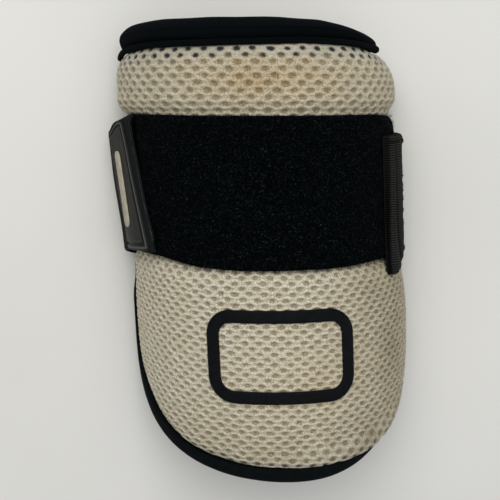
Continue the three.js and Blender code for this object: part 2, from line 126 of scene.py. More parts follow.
# Share of the top edge's half length, and size as a share of the full roll.
COLLAR_STATIONS = np.array(
    [
        (-0.94, 0.4),
        (-0.92, 0.8),
        (-0.88, 0.97),
        (-0.78, 1.0),
        (0.1, 1.0),
        (0.3, 0.93),
        (0.45, 0.8),
        (0.58, 0.65),
        (0.7, 0.56),
        (0.8, 0.5),
        (0.84, 0.44),
    ]
)

# Inward as a share of the rim's thickness, away from the cover as a share of its width.
RIM_SECTION = np.array(
    [(0.1, 0), (0, 0.16), (0, 0.6), (0.13, 0.88), (0.34, 1), (0.72, 1), (0.92, 0.86)]
    + [(1, 0.6), (1, 0)]
)

PAD_LENGTH = TOP_EDGE_Y - END_EDGE_Y
END_ROUND_Y = END_EDGE_Y + END_ROUND_LENGTH
SIDE_TOP_Y = TOP_EDGE_Y - TOP_CORNER_LENGTH
STRAP_TOP_Y = STRAP_MIDDLE_Y + STRAP_WIDTH / 2
STRAP_LOW_Y = STRAP_MIDDLE_Y - STRAP_WIDTH / 2
ELASTIC_TOP_Y = ELASTIC_MIDDLE_Y + ELASTIC_WIDTH / 2
ELASTIC_LOW_Y = ELASTIC_MIDDLE_Y - ELASTIC_WIDTH / 2 - ELASTIC_DRIFT
QUARTER_TURN = math.pi / 2

# From the sizes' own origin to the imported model's
SHIFT_X = -5.53116
PLACE = np.array([SHIFT_X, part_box("cover_pad")[1].y / MM - TOP_EDGE_Y, 0.0])

# The cover's fine grid, and its mesh fabric: half the cover's girth, one repeat of its
# openings across and along above and below the strap, and its relief
COVER_STEP = 0.42
COVER_COLUMNS = 331
HALF_GIRTH = 86.0
UPPER_REPEAT = (6.6, 5.0)
LOWER_REPEAT = (5.6, 4.1)
OPENING = (0.27, 0.215)
RIDGE_WAVE = 0.15
RELIEF = 0.8
RELIEF_RISE = 0.3

# The filling's swell: the cloth simulation's settings, the frame it ends at, how much
# larger than the guard it runs, and the most that it lifts the cover
SWELL_SETTINGS = {
    "quality": 6,
    "uniform_pressure_force": 4.0,
    "tension_stiffness": 12.0,
    "compression_stiffness": 12.0,
    "shear_stiffness": 6.0,
    "bending_stiffness": 3.0,
}
SWELL_FRAMES = 20
SWELL_SCALE = 5.0
SWELL_CAP = 2.2

# How the soft pieces lie over the plain solids: how far the cover's top edge bows up by
# the place along it, and how far the cover's lip and the rim stand out over their plain
# shapes, by the direction on the pad in degrees, from -90 at the left side over 0 at the
# end to 90 at the right side
TOP_BOW = np.array(
    [(-1, 0.1), (-0.75, 0.3), (-0.6, 0.8), (-0.3, 0.8), (0, 1.4), (0.2, 2.2), (0.42, 1.7)]
    + [(0.54, 1.1), (0.62, 0.5), (0.7, -0.4), (0.82, -0.4), (1, 0)]
)
LIP = np.array(
    [(-90, -1.1), (-80, -2.0), (-66, -2.9), (-54, -2.5), (-44, -0.9), (-32, -0.1), (-15, 0)]
    + [(0, 0.4), (15, 1.4), (30, 2.8), (50, 3.4), (70, 3.0), (90, 1.0)]
)
RIM_SHIFT = np.array(
    [(-90, 0), (-60, 0.2), (-38, -0.4), (-20, -0.7), (-8, -0.5), (3, 0.1), (12, 0.7)]
    + [(30, 0.7), (45, 0.3), (60, 0.1), (90, 0)]
)

# The band: how far its left end is tucked under the strap, and the number of loose fibres of its
# pile
BAND_TUCK_ANGLE = 9
FUZZ_FIBRES = 9000

# The strap: where its free end is cut, how far its sewn end is folded over, where it is
# narrowest at its side, and the number of threads along its cut end
FREE_EDGE = 4.6
FOLD_REACH = 4.4
NARROWED_AT = 17.5
FREE_THREADS = 760

# Small knots near its sewn end: distance from the fold, place along its width, rise and
# half length. Then the places of loose threads along its width, with their numbers.
NUBS = [
    (14.0, 24.6, 1.0, 0.8),
    (14.5, 10.5, 0.4, 0.4),
    (13.5, 7.2, 0.35, 0.5),
    (14.5, 4.6, 0.4, 0.35),
    (14.0, 1.0, 0.3, 0.4),
    (14.5, -3.2, 0.3, 0.4),
    (14.0, -7.5, 0.25, 0.4),
    (14.5, -19.2, 0.5, 0.8),
]
KNOTS = [(24.8, 46), (12, 12), (9.5, 14), (6, 16), (2, 10), (-3.5, 10), (-9, 8), (-19.4, 26)]

# The tab as it is shaped here, how deep it sits in the strap, and its bar's middle line
TAB_HALF_LENGTH = 24.9
TAB_REACH = 19.0
TAB_SINK = 0.4
TAB_RISE = 1.15
TAB_MARK_MIDDLE = 18.35

# How far the swelled cover lifts the mark on it
MARK_SWELL = 0.6

# The photograph's camera: its tilt in degrees to the left and up, its aim's height, its
# distance, and its focal length as a share of the picture's width
VIEW_TILT = (-4, 9)
VIEW_HEIGHT = 30.0
VIEW_DISTANCE = 400
FOCAL_SHARE = 2.02


# Shape of the arch ---------------------------------------------------------


def between(a, b, t):
    return a + (b - a) * t


def smooth_step(low, high, value):
    t = np.clip((np.asarray(value, float) - low) / (high - low), 0, 1)
    return t * t * (3 - 2 * t)


def hump(value, middle, reach):
    """A smooth rise of 1 at the middle."""
    return np.exp(-(((value - middle) / reach) ** 2))


def unit(vectors):
    return vectors / np.linalg.norm(vectors, axis=1, keepdims=True)


def round_reach(share, power):
    return (1 - np.minimum(1, np.abs(share)) ** power) ** (1 / power)


def section_value(column, y):
    along = (TOP_EDGE_Y - np.asarray(y, float)) / PAD_LENGTH
    near = [
        weight * np.interp(along + ahead, SECTIONS[:, 0], SECTIONS[:, column])
        for ahead, weight in ((-0.04, 1), (-0.02, 2), (0, 2), (0.02, 2), (0.04, 1))
    ]
    return sum(near) / 8


def middle_x(y):
    return section_value(1, y) * ARCH_WIDTH / 2


def half_width(y):
    return section_value(2, y) * ARCH_WIDTH / 2


def crown_height(y):
    return section_value(3, y) * ARCH_HEIGHT


def arch_point(y, angle, depth):
    x = middle_x(y) + (half_width(y) - depth) * np.sin(angle)
    z = (crown_height(y) - depth) * np.cos(angle)
    return np.stack(np.broadcast_arrays(x, y, z), axis=-1)


def arch_normal(y, angle):
    x, z = np.sin(angle) / half_width(y), np.cos(angle) / crown_height(y)
    length = np.hypot(x, z)
    return np.stack(np.broadcast_arrays(x / length, 0, z / length), axis=-1)


def groove_depth(y):
    past = np.abs(y - STRAP_MIDDLE_Y) - STRAP_WIDTH / 2
    return GROOVE_DEPTH * (1 - smooth_step(0, GROOVE_SHOULDER, past))


def rim_lift(y):
    above = smooth_step(0, LIFT_SHOULDER, y - ELASTIC_TOP_Y)
    below = smooth_step(0, LIFT_SHOULDER, ELASTIC_LOW_Y - y)
    return (ELASTIC_THICKNESS + GAP) * (1 - above) * (1 - below)


def side_angle(y, depth):
    return np.arccos((RIM_WIDTH + GAP + rim_lift(y)) / (crown_height(y) - depth))


def pad_point(y, share, depth):
    return arch_point(y, share * side_angle(y, depth), depth)


def end_share(y):
    return round_reach(np.maximum(0, END_ROUND_Y - y) / END_ROUND_LENGTH, END_ROUND_POWER)


def top_drop(share):
    return TOP_CORNER_LENGTH * (1 - round_reach(share, TOP_CORNER_POWER))


def top_bow(share):
    return np.interp(share, *TOP_BOW.T)


def direction(y, share):
    """The direction on the pad from the middle of its rounded end, in degrees."""
    down = np.maximum(0, END_ROUND_Y - y) / END_ROUND_LENGTH * HALF_GIRTH
    return np.degrees(np.arctan2(share * HALF_GIRTH, down))


def outward(y, share):
    """The unit direction out over the pad's sides or end, along its girth and its length."""
    power = END_ROUND_POWER - 1
    girth = np.sign(share) * np.abs(share) ** power / HALF_GIRTH
    length = -(np.maximum(0, END_ROUND_Y - y) / END_ROUND_LENGTH) ** power / END_ROUND_LENGTH
    size = np.maximum(np.hypot(girth, length), 1e-9)
    return girth / size, length / size


def lip_reach(y, share):
    return np.interp(direction(y, share), *LIP.T) * (1 - smooth_step(-16, 4, y))


def pad_place(row, across):
    fade = smooth_step(TOP_EDGE_Y - TOP_FADE_LENGTH, TOP_EDGE_Y, row)
    y = row - (top_drop(across) - top_bow(across)) * fade
    share = across * end_share(row)
    return y, share, edge_distance(row, y, across)


def edge_distance(row, y, across):
    radius = (half_width(y) + crown_height(y)) / 2
    side = (1 - np.abs(across)) * end_share(row) * side_angle(y, 0) * radius
    top = (TOP_EDGE_Y - row) * (1 - TOP_CORNER_LENGTH / TOP_FADE_LENGTH)
    tip = round_reach(across * end_share(row), END_ROUND_POWER) * END_ROUND_LENGTH
    end = y - (END_ROUND_Y - tip)
    rounded = side * end / np.maximum(np.hypot(side, end), GAP)
    return np.maximum(0, np.minimum(np.where(y < END_ROUND_Y, rounded, side), top))


def cover_depth(y, edge):
    t = np.maximum(0, 1 - edge / EDGE_ROUND)
    return groove_depth(y) + EDGE_SINK * (1 - np.sqrt(1 - t * t))


def lip_place(y, share, edge):
    """Moves the cover's edge out or back, rounded over, and gives its depth."""
    reach = lip_reach(y, share)
    over = np.maximum(reach, 0)
    last_turn = math.pi - np.arcsin(EDGE_ROUND / (EDGE_ROUND + over))
    last_turn = np.where(over > 0, last_turn, QUARTER_TURN)
    t = np.clip(1 - edge / EDGE_ROUND, 0, 1)
    turn = np.arcsin(t) / QUARTER_TURN * last_turn
    sink = EDGE_SINK - 0.6 * smooth_step(0, 2, over)
    depth = sink * (1 - np.cos(turn)) / (1 - np.cos(last_turn))
    ragged = 0.22 * smooth_noise(share * 55, y * 0.55, 5) * t**6
    out = (EDGE_ROUND + reach) * np.sin(turn) - EDGE_ROUND * t + ragged
    girth, length = outward(y, share)
    return y + length * out, share + girth * out / HALF_GIRTH, groove_depth(y) + depth


# Meshes --------------------------------------------------------------------


def grid_faces(rows, columns, start=0, flip=False):
    """Quads of a grid whose rows run down and columns to the right, seen from outside."""
    here = start + np.arange(rows * columns).reshape(rows, columns)
    a, b, c, d = here[:-1, :-1], here[1:, :-1], here[1:, 1:], here[:-1, 1:]
    order = (a, d, c, b) if flip else (a, b, c, d)
    return np.stack(order, axis=-1).reshape(-1, 4)


def strip_faces(first, second):
    """Quads between two lines of vertex numbers of the same length."""
    return np.stack([first[:-1], first[1:], second[1:], second[:-1]], axis=-1)


def closed_sheet(outer, inner):
    """A closed solid from two faces of one grid."""
    rows, columns = outer.shape[:2]
    number = np.arange(rows * columns).reshape(rows, columns)
    under = number + rows * columns
    faces = [
        grid_faces(rows, columns),
        grid_faces(rows, columns, rows * columns, flip=True),
        strip_faces(number[::-1, 0], under[::-1, 0]),
        strip_faces(number[:, -1], under[:, -1]),
        strip_faces(number[0], under[0]),
        strip_faces(number[-1, ::-1], under[-1, ::-1]),
    ]
    points = np.concatenate([outer.reshape(-1, 3), inner.reshape(-1, 3)])
    return points, np.concatenate(faces)


def swept(sections, closed=False):
    """A closed solid along a path of sections with the same number of points."""
    count, sides = sections.shape[:2]
    number = np.arange(count * sides).reshape(count, sides)
    ring = np.concatenate([number, number[:, :1]], axis=1)
    if closed:
        ring = np.concatenate([ring, ring[:1]])
    a, b, c, d = ring[:-1, :-1], ring[:-1, 1:], ring[1:, 1:], ring[1:, :-1]
    faces = np.stack([a, b, c, d], axis=-1).reshape(-1, 4).tolist()
    if not closed:
        faces += [number[0, ::-1].tolist(), number[-1].tolist()]
    return sections.reshape(-1, 3), faces


def make_piece(name, points, faces, slot, material, uv=None, replaces=()):
    """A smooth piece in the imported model's frame, from points in millimetres."""
    mesh = bpy.data.meshes.new(name)
    placed = (np.asarray(points, float) + PLACE) * MM
    quads = faces.tolist() if isinstance(faces, np.ndarray) else faces
    mesh.from_pydata(placed.tolist(), [], quads)
    mesh.polygons.foreach_set("use_smooth", np.ones(len(mesh.polygons), bool))
    if uv is not None:
        corner = np.zeros(len(mesh.loops), int)
        mesh.loops.foreach_get("vertex_index", corner)
        layer = mesh.uv_layers.new(name="UVMap")
        layer.data.foreach_set("uv", np.asarray(uv, float)[corner].ravel())
    mesh.update()
    piece = bpy.data.objects.new(name, mesh)
    bpy.context.scene.collection.objects.link(piece)
    mesh.materials.append(material)
    if replaces:
        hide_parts(*replaces)
    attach(piece, "root")
    return piece


def add_value(piece, name, values):
    """A number for each vertex that the material reads, 0 past the last one given."""
    filled = np.zeros(len(piece.data.vertices))
    filled[: np.size(values)] = np.ravel(values)
    piece.data.attributes.new(name, "FLOAT", "POINT").data.foreach_set("value", filled)


def smooth_noise(x, y, seed):
    """Soft noise in -1 to 1 from a few waves with seeded directions."""
    rng = np.random.default_rng(seed)
    total = np.zeros(np.broadcast(x, y).shape)
    for k in range(10):
        turn, phase = rng.uniform(0, 2 * math.pi, 2)
        pitch = rng.uniform(0.6, 1.8)
        run = x * math.cos(turn) + y * math.sin(turn)
        total = total + np.sin(pitch * run * 2 * math.pi + phase)
    return total / 4.5


# Materials -----------------------------------------------------------------


class Nodes:
    """A material's node tree, with one short call for each kind of node."""

    def __init__(self, name):
        self.material = bpy.data.materials.new(name)
        self.material.use_nodes = True
        self.tree = self.material.node_tree
        self.shader = self.tree.nodes["Principled BSDF"]

    def put(self, socket, value):
        if isinstance(value, bpy.types.NodeSocket):
            self.tree.links.new(value, socket)
        else:
            socket.default_value = value

    def node(self, kind, output=0, settings=(), **inputs):
        """A node's output. An input is named, or counted as i0, i1 and so on."""
        made = self.tree.nodes.new(kind)
        for key, value in dict(settings).items():
            setattr(made, key, value)
        for key, value in inputs.items():
            counted = key[0] == "i" and key[1:].isdigit()
            self.put(made.inputs[int(key[1:]) if counted else key], value)
        return made.outputs[output]

    def math(self, operation, a, b=0.0, c=0.0):
        return self.node("ShaderNodeMath", 0, {"operation": operation}, i0=a, i1=b, i2=c)

    def times(self, a, b):
        return self.math("MULTIPLY", a, b)

    def plus(self, a, b):
        return self.math("ADD", a, b)

    def scaled(self, value, factor, added):
        return self.math("MULTIPLY_ADD", value, factor, added)

    def layered(self, first, *more):
        """The sum of parts, each given with its weight."""
        total = self.times(*first)
        for part, weight in more:
            total = self.scaled(part, weight, total)
        return total

    def off_middle(self, value):
        return self.math("SUBTRACT", self.math("FRACT", value), 0.5)

    def zigzag(self, value):
        return self.math("ABSOLUTE", self.off_middle(value))

    def noise(self, vector, scale, detail=3.0, roughness=0.55):
        numbers = {"Scale": scale, "Detail": detail, "Roughness": roughness}
        return self.node("ShaderNodeTexNoise", Vector=vector, **numbers)

    def step(self, value, low, high, to_low=0.0, to_high=1.0):
        kind = {"interpolation_type": "SMOOTHSTEP"}
        ends = {"i1": low, "i2": high, "i3": to_low, "i4": to_high}
        return self.node("ShaderNodeMapRange", 0, kind, i0=value, **ends)

    def mix(self, share, a, b, blend="MIX"):
        kind = {"data_type": "RGBA", "blend_type": blend}
        return self.node("ShaderNodeMix", 2, kind, i0=share, i6=a, i7=b)

    def shade(self, value, low, high, a, b):
        return self.mix(self.step(value, low, high), a, b)

    def tinted(self, color, share, amount, tint, blend="MIX"):
        return self.mix(self.times(share, amount), color, tint, blend)

    def stretched(self, vector, scale):
        return self.node("ShaderNodeMapping", Vector=vector, Scale=scale)

    def value(self, name):
        return self.node("ShaderNodeAttribute", 2, {"attribute_name": name})

    def where(self):
        """The place on the piece in millimetres."""
        place = self.node("ShaderNodeTexCoord", 3)
        return self.node("ShaderNodeVectorMath", 0, {"operation": "SCALE"}, i0=place, Scale=1000.0)

    def across(self):
        """The two numbers of the place on the piece's sheet."""
        place = self.node("ShaderNodeUVMap", 0, {"uv_map": "UVMap"})
        return self.node("ShaderNodeSeparateXYZ", slice(2), i0=place)

    def bump(self, height, distance, strength):
        return self.node("ShaderNodeBump", Height=height, Distance=distance, Strength=strength)

    def finish(self, color, roughness, normal, **fixed):
        self.put(self.shader.inputs["Base Color"], color)
        self.put(self.shader.inputs["Roughness"], roughness)
        self.put(self.shader.inputs["Normal"], normal)
        for key, value in fixed.items():
            self.shader.inputs[key.replace("_", " ")].default_value = value
        return self.material


def rgb(r, g, b):
    """A colour from its values on screen, 0 to 255."""
    linear = [((v / 255 + 0.055) / 1.055) ** 2.4 if v > 10 else v / 255 / 12.92 for v in (r, g, b)]
    return (*linear, 1.0)


def mesh_fabric_material():
    """Cream mesh fabric: wavy strands round staggered openings with a tan floor."""
    n = Nodes("cream_mesh_fabric")
    u, v = n.across()
    where = n.where()

    def opening(shift):
        """Distance from the nearest centre of a row's openings, 1 at an opening's edge."""
        across, along = n.plus(u, shift), n.plus(v, shift)
        row, column = n.math("FLOOR", along), n.math("FLOOR", across)
        cell = n.node("ShaderNodeCombineXYZ", i0=column, i1=row, i2=shift)
        size = n.scaled(n.node("ShaderNodeTexWhiteNoise", Vector=cell), 0.22, 0.87)
        x = n.math("DIVIDE", n.off_middle(across), OPENING[0])
        y = n.math("DIVIDE", n.off_middle(along), OPENING[1])
        squares = n.plus(n.times(x, x), n.times(y, y))
        return n.math("DIVIDE", n.math("SQRT", squares), size)

    nearest = n.math("MINIMUM", opening(0.5), opening(0.0))
    rough_edge = n.times(n.math("SUBTRACT", n.noise(where, 1.5, 2.0, 0.6), 0.5), 0.9)
    strand = n.step(n.plus(nearest, rough_edge), 0.5, 1.05)
    double = n.times(v, 2.0)
    turn = n.scaled(n.math("FLOORED_MODULO", n.math("FLOOR", double), 2.0), -2.0, 1.0)
    wave = n.times(n.math("COSINE", n.times(u, 2 * math.pi)), turn)
    middle = n.off_middle(double)
    off_ridge = n.math("ABSOLUTE", n.scaled(wave, -RIDGE_WAVE, middle))
    ridge = n.step(off_ridge, 0.04, 0.36, 1.0, 0.0)
    crease = n.times(n.step(off_ridge, 0.34, 0.5), n.step(nearest, 1.05, 1.5))
    loops = n.zigzag(n.scaled(middle, 1.6, n.times(u, 6.0)))
    yarn = n.noise(where, 2.3, 2.0, 0.7)
    speck = n.step(n.noise(where, 1.1, 3.0, 0.7), 0.56, 0.68, 0.0, 0.45)

    broad = n.noise(where, 0.035, 2.0, 0.5)
    cream = n.shade(broad, 0.35, 0.65, rgb(212, 205, 183), rgb(219, 214, 196))
    strands = n.shade(yarn, 0.38, 0.58, rgb(149, 139, 112), cream)
    # Painted highlight: the strands are lightened along their ridges
    strands = n.tinted(strands, ridge, n.step(yarn, 0.4, 0.6, 0.15, 0.65), rgb(222, 216, 199))
    strands = n.mix(speck, strands, rgb(140, 128, 100))
    strands = n.tinted(strands, n.value("dark_floor"), 0.3, rgb(192, 194, 190))
    floor_tan = n.shade(yarn, 0.4, 0.62, rgb(136, 122, 94), rgb(178, 166, 138))
    floor_color = n.mix(n.value("dark_floor"), floor_tan, rgb(46, 49, 55))
    color = n.mix(strand, floor_color, strands)
    # Painted shade: the creases between neighbouring openings are darkened
    color = n.tinted(color, crease, 0.5, rgb(128, 117, 90))
    # The stain, then the painted shade and darkening, each multiplied in by patches
    for name, scale, patches, amount, tint in (
        ("stain", 0.09, (0.3, 0.7, 0.55, 1.0), 0.75, rgb(240, 216, 180)),
        ("painted_shade_and_darkening", 0.07, (0.3, 0.75, 0.5, 1.0), 0.8, rgb(192, 186, 172)),
    ):
        patchy = n.times(n.value(name), n.step(n.noise(where, scale), *patches))
        color = n.tinted(color, patchy, amount, tint, "MULTIPLY")

    height = n.layered((ridge, 0.2), (strand, 0.5), (yarn, 0.6), (loops, 0.2), (crease, -0.2))
    normal = n.bump(height, 0.0007, 0.85)
    return n.finish(color, 0.9, normal, Sheen_Weight=0.05, Specular_IOR_Level=0.15)


def knit_material():
    """Black knit with fine diagonal ribs."""
    n = Nodes("black_knit_fabric")
    u, v = n.across()
    where = n.where()
    rib, loop = n.zigzag(n.scaled(v, 0.5, u)), n.zigzag(n.times(v, 1.7))
    fuzz = n.noise(where, 3.0, 3.0, 0.6)
    wear = n.step(n.noise(where, 0.16, 4.0), 0.5, 0.8)
    speck = n.step(n.noise(where, 1.1, 1.0), 0.74, 0.8)
    color = n.shade(rib, 0.15, 0.42, rgb(0, 1, 2), rgb(20, 26, 28))
    color = n.tinted(color, wear, 0.25, rgb(14, 18, 20))
    color = n.tinted(color, speck, 0.3, rgb(58, 60, 62))
    height = n.layered((fuzz, 0.45), (rib, 0.9), (loop, 0.3))
    return n.finish(color, 0.9, n.bump(height, 0.0007, 0.9), Specular_IOR_Level=0.02)


def foam_material():
    """Matte black foam with a fine stretch fabric face."""
    n = Nodes("black_foam_fabric")
    where = n.where()
    pores, soft = n.noise(where, 2.4, 3.0, 0.65), n.noise(where, 0.3)
    lint = n.step(n.noise(where, 0.85, 1.0), 0.77, 0.82)
    color = n.shade(soft, 0.3, 0.7, rgb(4, 7, 9), rgb(9, 13, 15))
    color = n.shade(pores, 0.5, 0.75, color, rgb(17, 21, 23))
    color = n.tinted(color, lint, 0.3, rgb(60, 62, 62))
    height = n.layered((soft, 0.8), (pores, 0.6))
    return n.finish(color, 0.86, n.bump(height, 0.0005, 0.5), Specular_IOR_Level=0.06)


def loop_material():
    """Brushed black loop pile, with grey flecks painted as glints on its loops."""
    n = Nodes("black_loop_pile")
    where = n.where()
    pile = n.noise(where, 1.9, 4.0, 0.7)
    tufts = n.noise(n.stretched(where, (1.0, 0.6, 1.0)), 0.7, 4.0, 0.7)
    glint = n.step(n.noise(where, 1.4, 1.0), 0.64, 0.74)
    color = n.shade(pile, 0.45, 0.66, rgb(1, 2, 2), rgb(7, 12, 14))
    color = n.shade(tufts, 0.55, 0.85, color, rgb(8, 13, 15))
    # Painted glints: light grey flecks where the loops catch the light
    color = n.tinted(color, glint, 0.8, rgb(38, 46, 50))
    height = n.layered((tufts, 0.8), (pile, 0.8))
    return n.finish(color, 0.97, n.bump(height, 0.0009, 0.9), Specular_IOR_Level=0.02)


def webbing_material():
    """Ribbed black elastic webbing, worn along its folds; painted shade darkens its folded layer
    and creases.
    """
    n = Nodes("black_elastic_webbing")
    u, v = n.across()
    where = n.where()
    rib, pick = n.zigzag(n.times(v, 1.05)), n.zigzag(n.times(u, 1.6))
    fuzz = n.noise(where, 2.2, 3.0, 0.65)
    lightened = n.noise(n.stretched(where, (1.0, 0.25, 1.0)), 0.6)
    bound = n.value("bound")
    color = n.shade(rib, 0.1, 0.4, rgb(7, 8, 8), rgb(45, 47, 44))
    color = n.tinted(color, n.step(lightened, 0.45, 0.8), 0.5, rgb(42, 43, 40))
    # Painted shade: the fold and the creases are darkened almost to black, and the hem's line too
    color = n.mix(n.value("crease"), color, rgb(2, 2, 2))
    color = n.mix(bound, color, rgb(23, 27, 27))
    ribbed = n.times(n.layered((pick, 0.35), (rib, 0.9)), n.math("SUBTRACT", 1.0, bound))
    normal = n.bump(n.scaled(fuzz, 0.5, ribbed), 0.0004, 0.8)
    return n.finish(color, 0.84, normal, Specular_IOR_Level=0.05)


def rubber_material():
    """Satin moulded rubber, dusty in its corners, with painted shade in its groove and a painted
    highlight along its edges.
    """
    n = Nodes("dark_moulded_rubber")
    where = n.where()
    dust = n.noise(where, 0.45, 4.0, 0.6)
    color = n.shade(dust, 0.35, 0.7, rgb(24, 26, 23), rgb(34, 36, 32))
    # The groove is darkened as painted shade, and the edges are lightened as a painted highlight
    tints = {"lip": rgb(12, 14, 14), "groove": rgb(1, 1, 1), "edge_highlight": rgb(80, 81, 77)}
    for name, tint in tints.items():
        color = n.mix(n.value(name), color, tint)
    normal = n.bump(n.noise(where, 3.5, 2.0, 0.5), 0.0002, 0.35)
    return n.finish(color, n.step(dust, 0.3, 0.7, 0.5, 0.64), normal, Specular_IOR_Level=0.14)


def print_material(name, dark, light, gloss=0.3):
    """A raised print, a little worn."""
    n = Nodes(name)
    where = n.where()
    color = n.shade(n.noise(where, 0.35, 4.0, 0.6), 0.35, 0.7, dark, light)
    normal = n.bump(n.noise(where, 1.6, 3.0, 0.6), 0.0003, 0.4)
    return n.finish(color, 0.62, normal, Specular_IOR_Level=gloss)


def floor_material():
    """A plain pale table top with faint cloudiness."""
    n = Nodes("pale_floor")
    where = n.where()
    cloud = n.noise(where, 0.006, 3.0, 0.5)
    color = n.shade(cloud, 0.3, 0.7, rgb(217, 216, 211), rgb(222, 221, 217))
    normal = n.bump(n.noise(where, 0.4), 0.0001, 0.2)
    return n.finish(color, 0.75, normal, Specular_IOR_Level=0.2)


cream_mesh = mesh_fabric_material()
black_knit = knit_material()
black_foam = foam_material()
loop_pile = loop_material()
webbing = webbing_material()
rubber = rubber_material()
cream_print = print_material("cream_raised_print", rgb(158, 150, 130), rgb(176, 170, 152))
black_print = print_material("black_raised_print", rgb(3, 5, 7), rgb(8, 11, 13), 0.1)


# The padded cover ----------------------------------------------------------


def lattice(y, share):
    """A place in repeats of the mesh fabric's openings."""
    upper = y > STRAP_MIDDLE_Y
    s = share * HALF_GIRTH
    u = np.where(upper, s / UPPER_REPEAT[0], s / LOWER_REPEAT[0])
    v = np.where(upper, y / UPPER_REPEAT[1], y / LOWER_REPEAT[1])
    return u + 0.05 * smooth_noise(s / 16, y / 13, 41), v + 0.06 * smooth_noise(s / 15, y / 17, 43)


def lattice_relief(u, v):
    """Height of the mesh fabric's strands, from 0 in an opening to 1 on a ridge."""
    nearest = None
    for shift in (0.5, 0.0):
        across = ((u + shift) % 1 - 0.5) / OPENING[0]
        along = ((v + shift) % 1 - 0.5) / OPENING[1]
        d = np.hypot(across, along)
        nearest = d if nearest is None else np.minimum(nearest, d)
    double = 2 * v
    wave = np.cos(2 * math.pi * u) * (1 - 2 * (np.floor(double) % 2))
    off_ridge = np.abs(double % 1 - 0.5 - RIDGE_WAVE * wave)
    ridge = np.exp(-((off_ridge / 0.26) ** 2))
    return smooth_step(0.4, 1.3, nearest) * (0.68 + 0.32 * ridge)


def padded_swell(rows, across):
    """How far the cover's filling lifts it, from cloth under pressure that is held along
    its edges and under the strap. In millimetres, over a grid of rows and columns."""
    row, side = np.meshgrid(rows, across, indexing="ij")
    y, share, edge = pad_place(row, side)
    depth = cover_depth(y, edge)
    start = pad_point(y, share, depth)
    scale = SWELL_SCALE * MM
    mesh = bpy.data.meshes.new("swelling")
    mesh.from_pydata((start.reshape(-1, 3) * scale).tolist(), [], grid_faces(*row.shape).tolist())
    cloth = bpy.data.objects.new("swelling", mesh)
    bpy.context.scene.collection.objects.link(cloth)
    held = (y < STRAP_TOP_Y + 1) & (y > STRAP_LOW_Y - 1) | (edge < 1.0)
    group = cloth.vertex_groups.new(name="held")
    group.add(np.flatnonzero(held.ravel()).tolist(), 1.0, "REPLACE")
    settings = cloth.modifiers.new("cloth", "CLOTH").settings
    settings.vertex_group_mass = "held"
    settings.use_pressure = True
    for name, value in SWELL_SETTINGS.items():
        setattr(settings, name, value)
    settings.effector_weights.gravity = 0.0
    scene = bpy.context.scene
    for number in range(SWELL_FRAMES):
        scene.frame_set(number + 1)
    shown = cloth.evaluated_get(bpy.context.evaluated_depsgraph_get())
    ended = np.zeros(len(mesh.vertices) * 3)
    shown.data.vertices.foreach_get("co", ended)
    moved = ended.reshape(start.shape) / scale - start
    scene.frame_set(1)
    bpy.data.objects.remove(cloth)
    angle = share * side_angle(y, depth)
    swell = np.clip((moved * arch_normal(y, angle)).sum(axis=-1), 0, SWELL_CAP)
    return swell * (1 - smooth_step(-0.45, -0.9, share))


def fine_swell(rows, across):
    """The filling's swell on a fine grid, from a coarse one of its rows and columns."""
    coarse_rows = np.interp(np.linspace(0, 1, 72), np.linspace(0, 1, len(rows)), rows)
    coarse_across = np.linspace(-1, 1, 81)
    swell = padded_swell(coarse_rows, coarse_across)
    place = np.interp(-rows, -coarse_rows, np.arange(len(coarse_rows)))
    lower = np.minimum(place.astype(int), len(coarse_rows) - 2)
    by_row = between(swell[lower], swell[lower + 1], (place - lower)[:, None])
    return np.stack([np.interp(across, coarse_across, line) for line in by_row])


def cover_rows():
    """Rows of the fine grid, with its last one short of the tip."""
    upper = np.arange(TOP_EDGE_Y, STRAP_TOP_Y - 1, -COVER_STEP)
    strap = np.linspace(STRAP_TOP_Y - 1.5, STRAP_LOW_Y + 1.5, 12)
    lower = np.arange(STRAP_LOW_Y + 1, END_ROUND_Y, -COVER_STEP)
    last_turn = math.acos(END_ROW_SHARE ** (END_ROUND_POWER / 2))
    turn = np.linspace(0, 1, 126)[1:] * last_turn
    rounded = END_ROUND_Y - END_ROUND_LENGTH * np.sin(turn) ** (2 / END_ROUND_POWER)
    rounded = np.interp(np.linspace(0, 1, 118), np.linspace(0, 1, len(rounded)), rounded)
    return np.concatenate([upper, strap, lower, rounded])


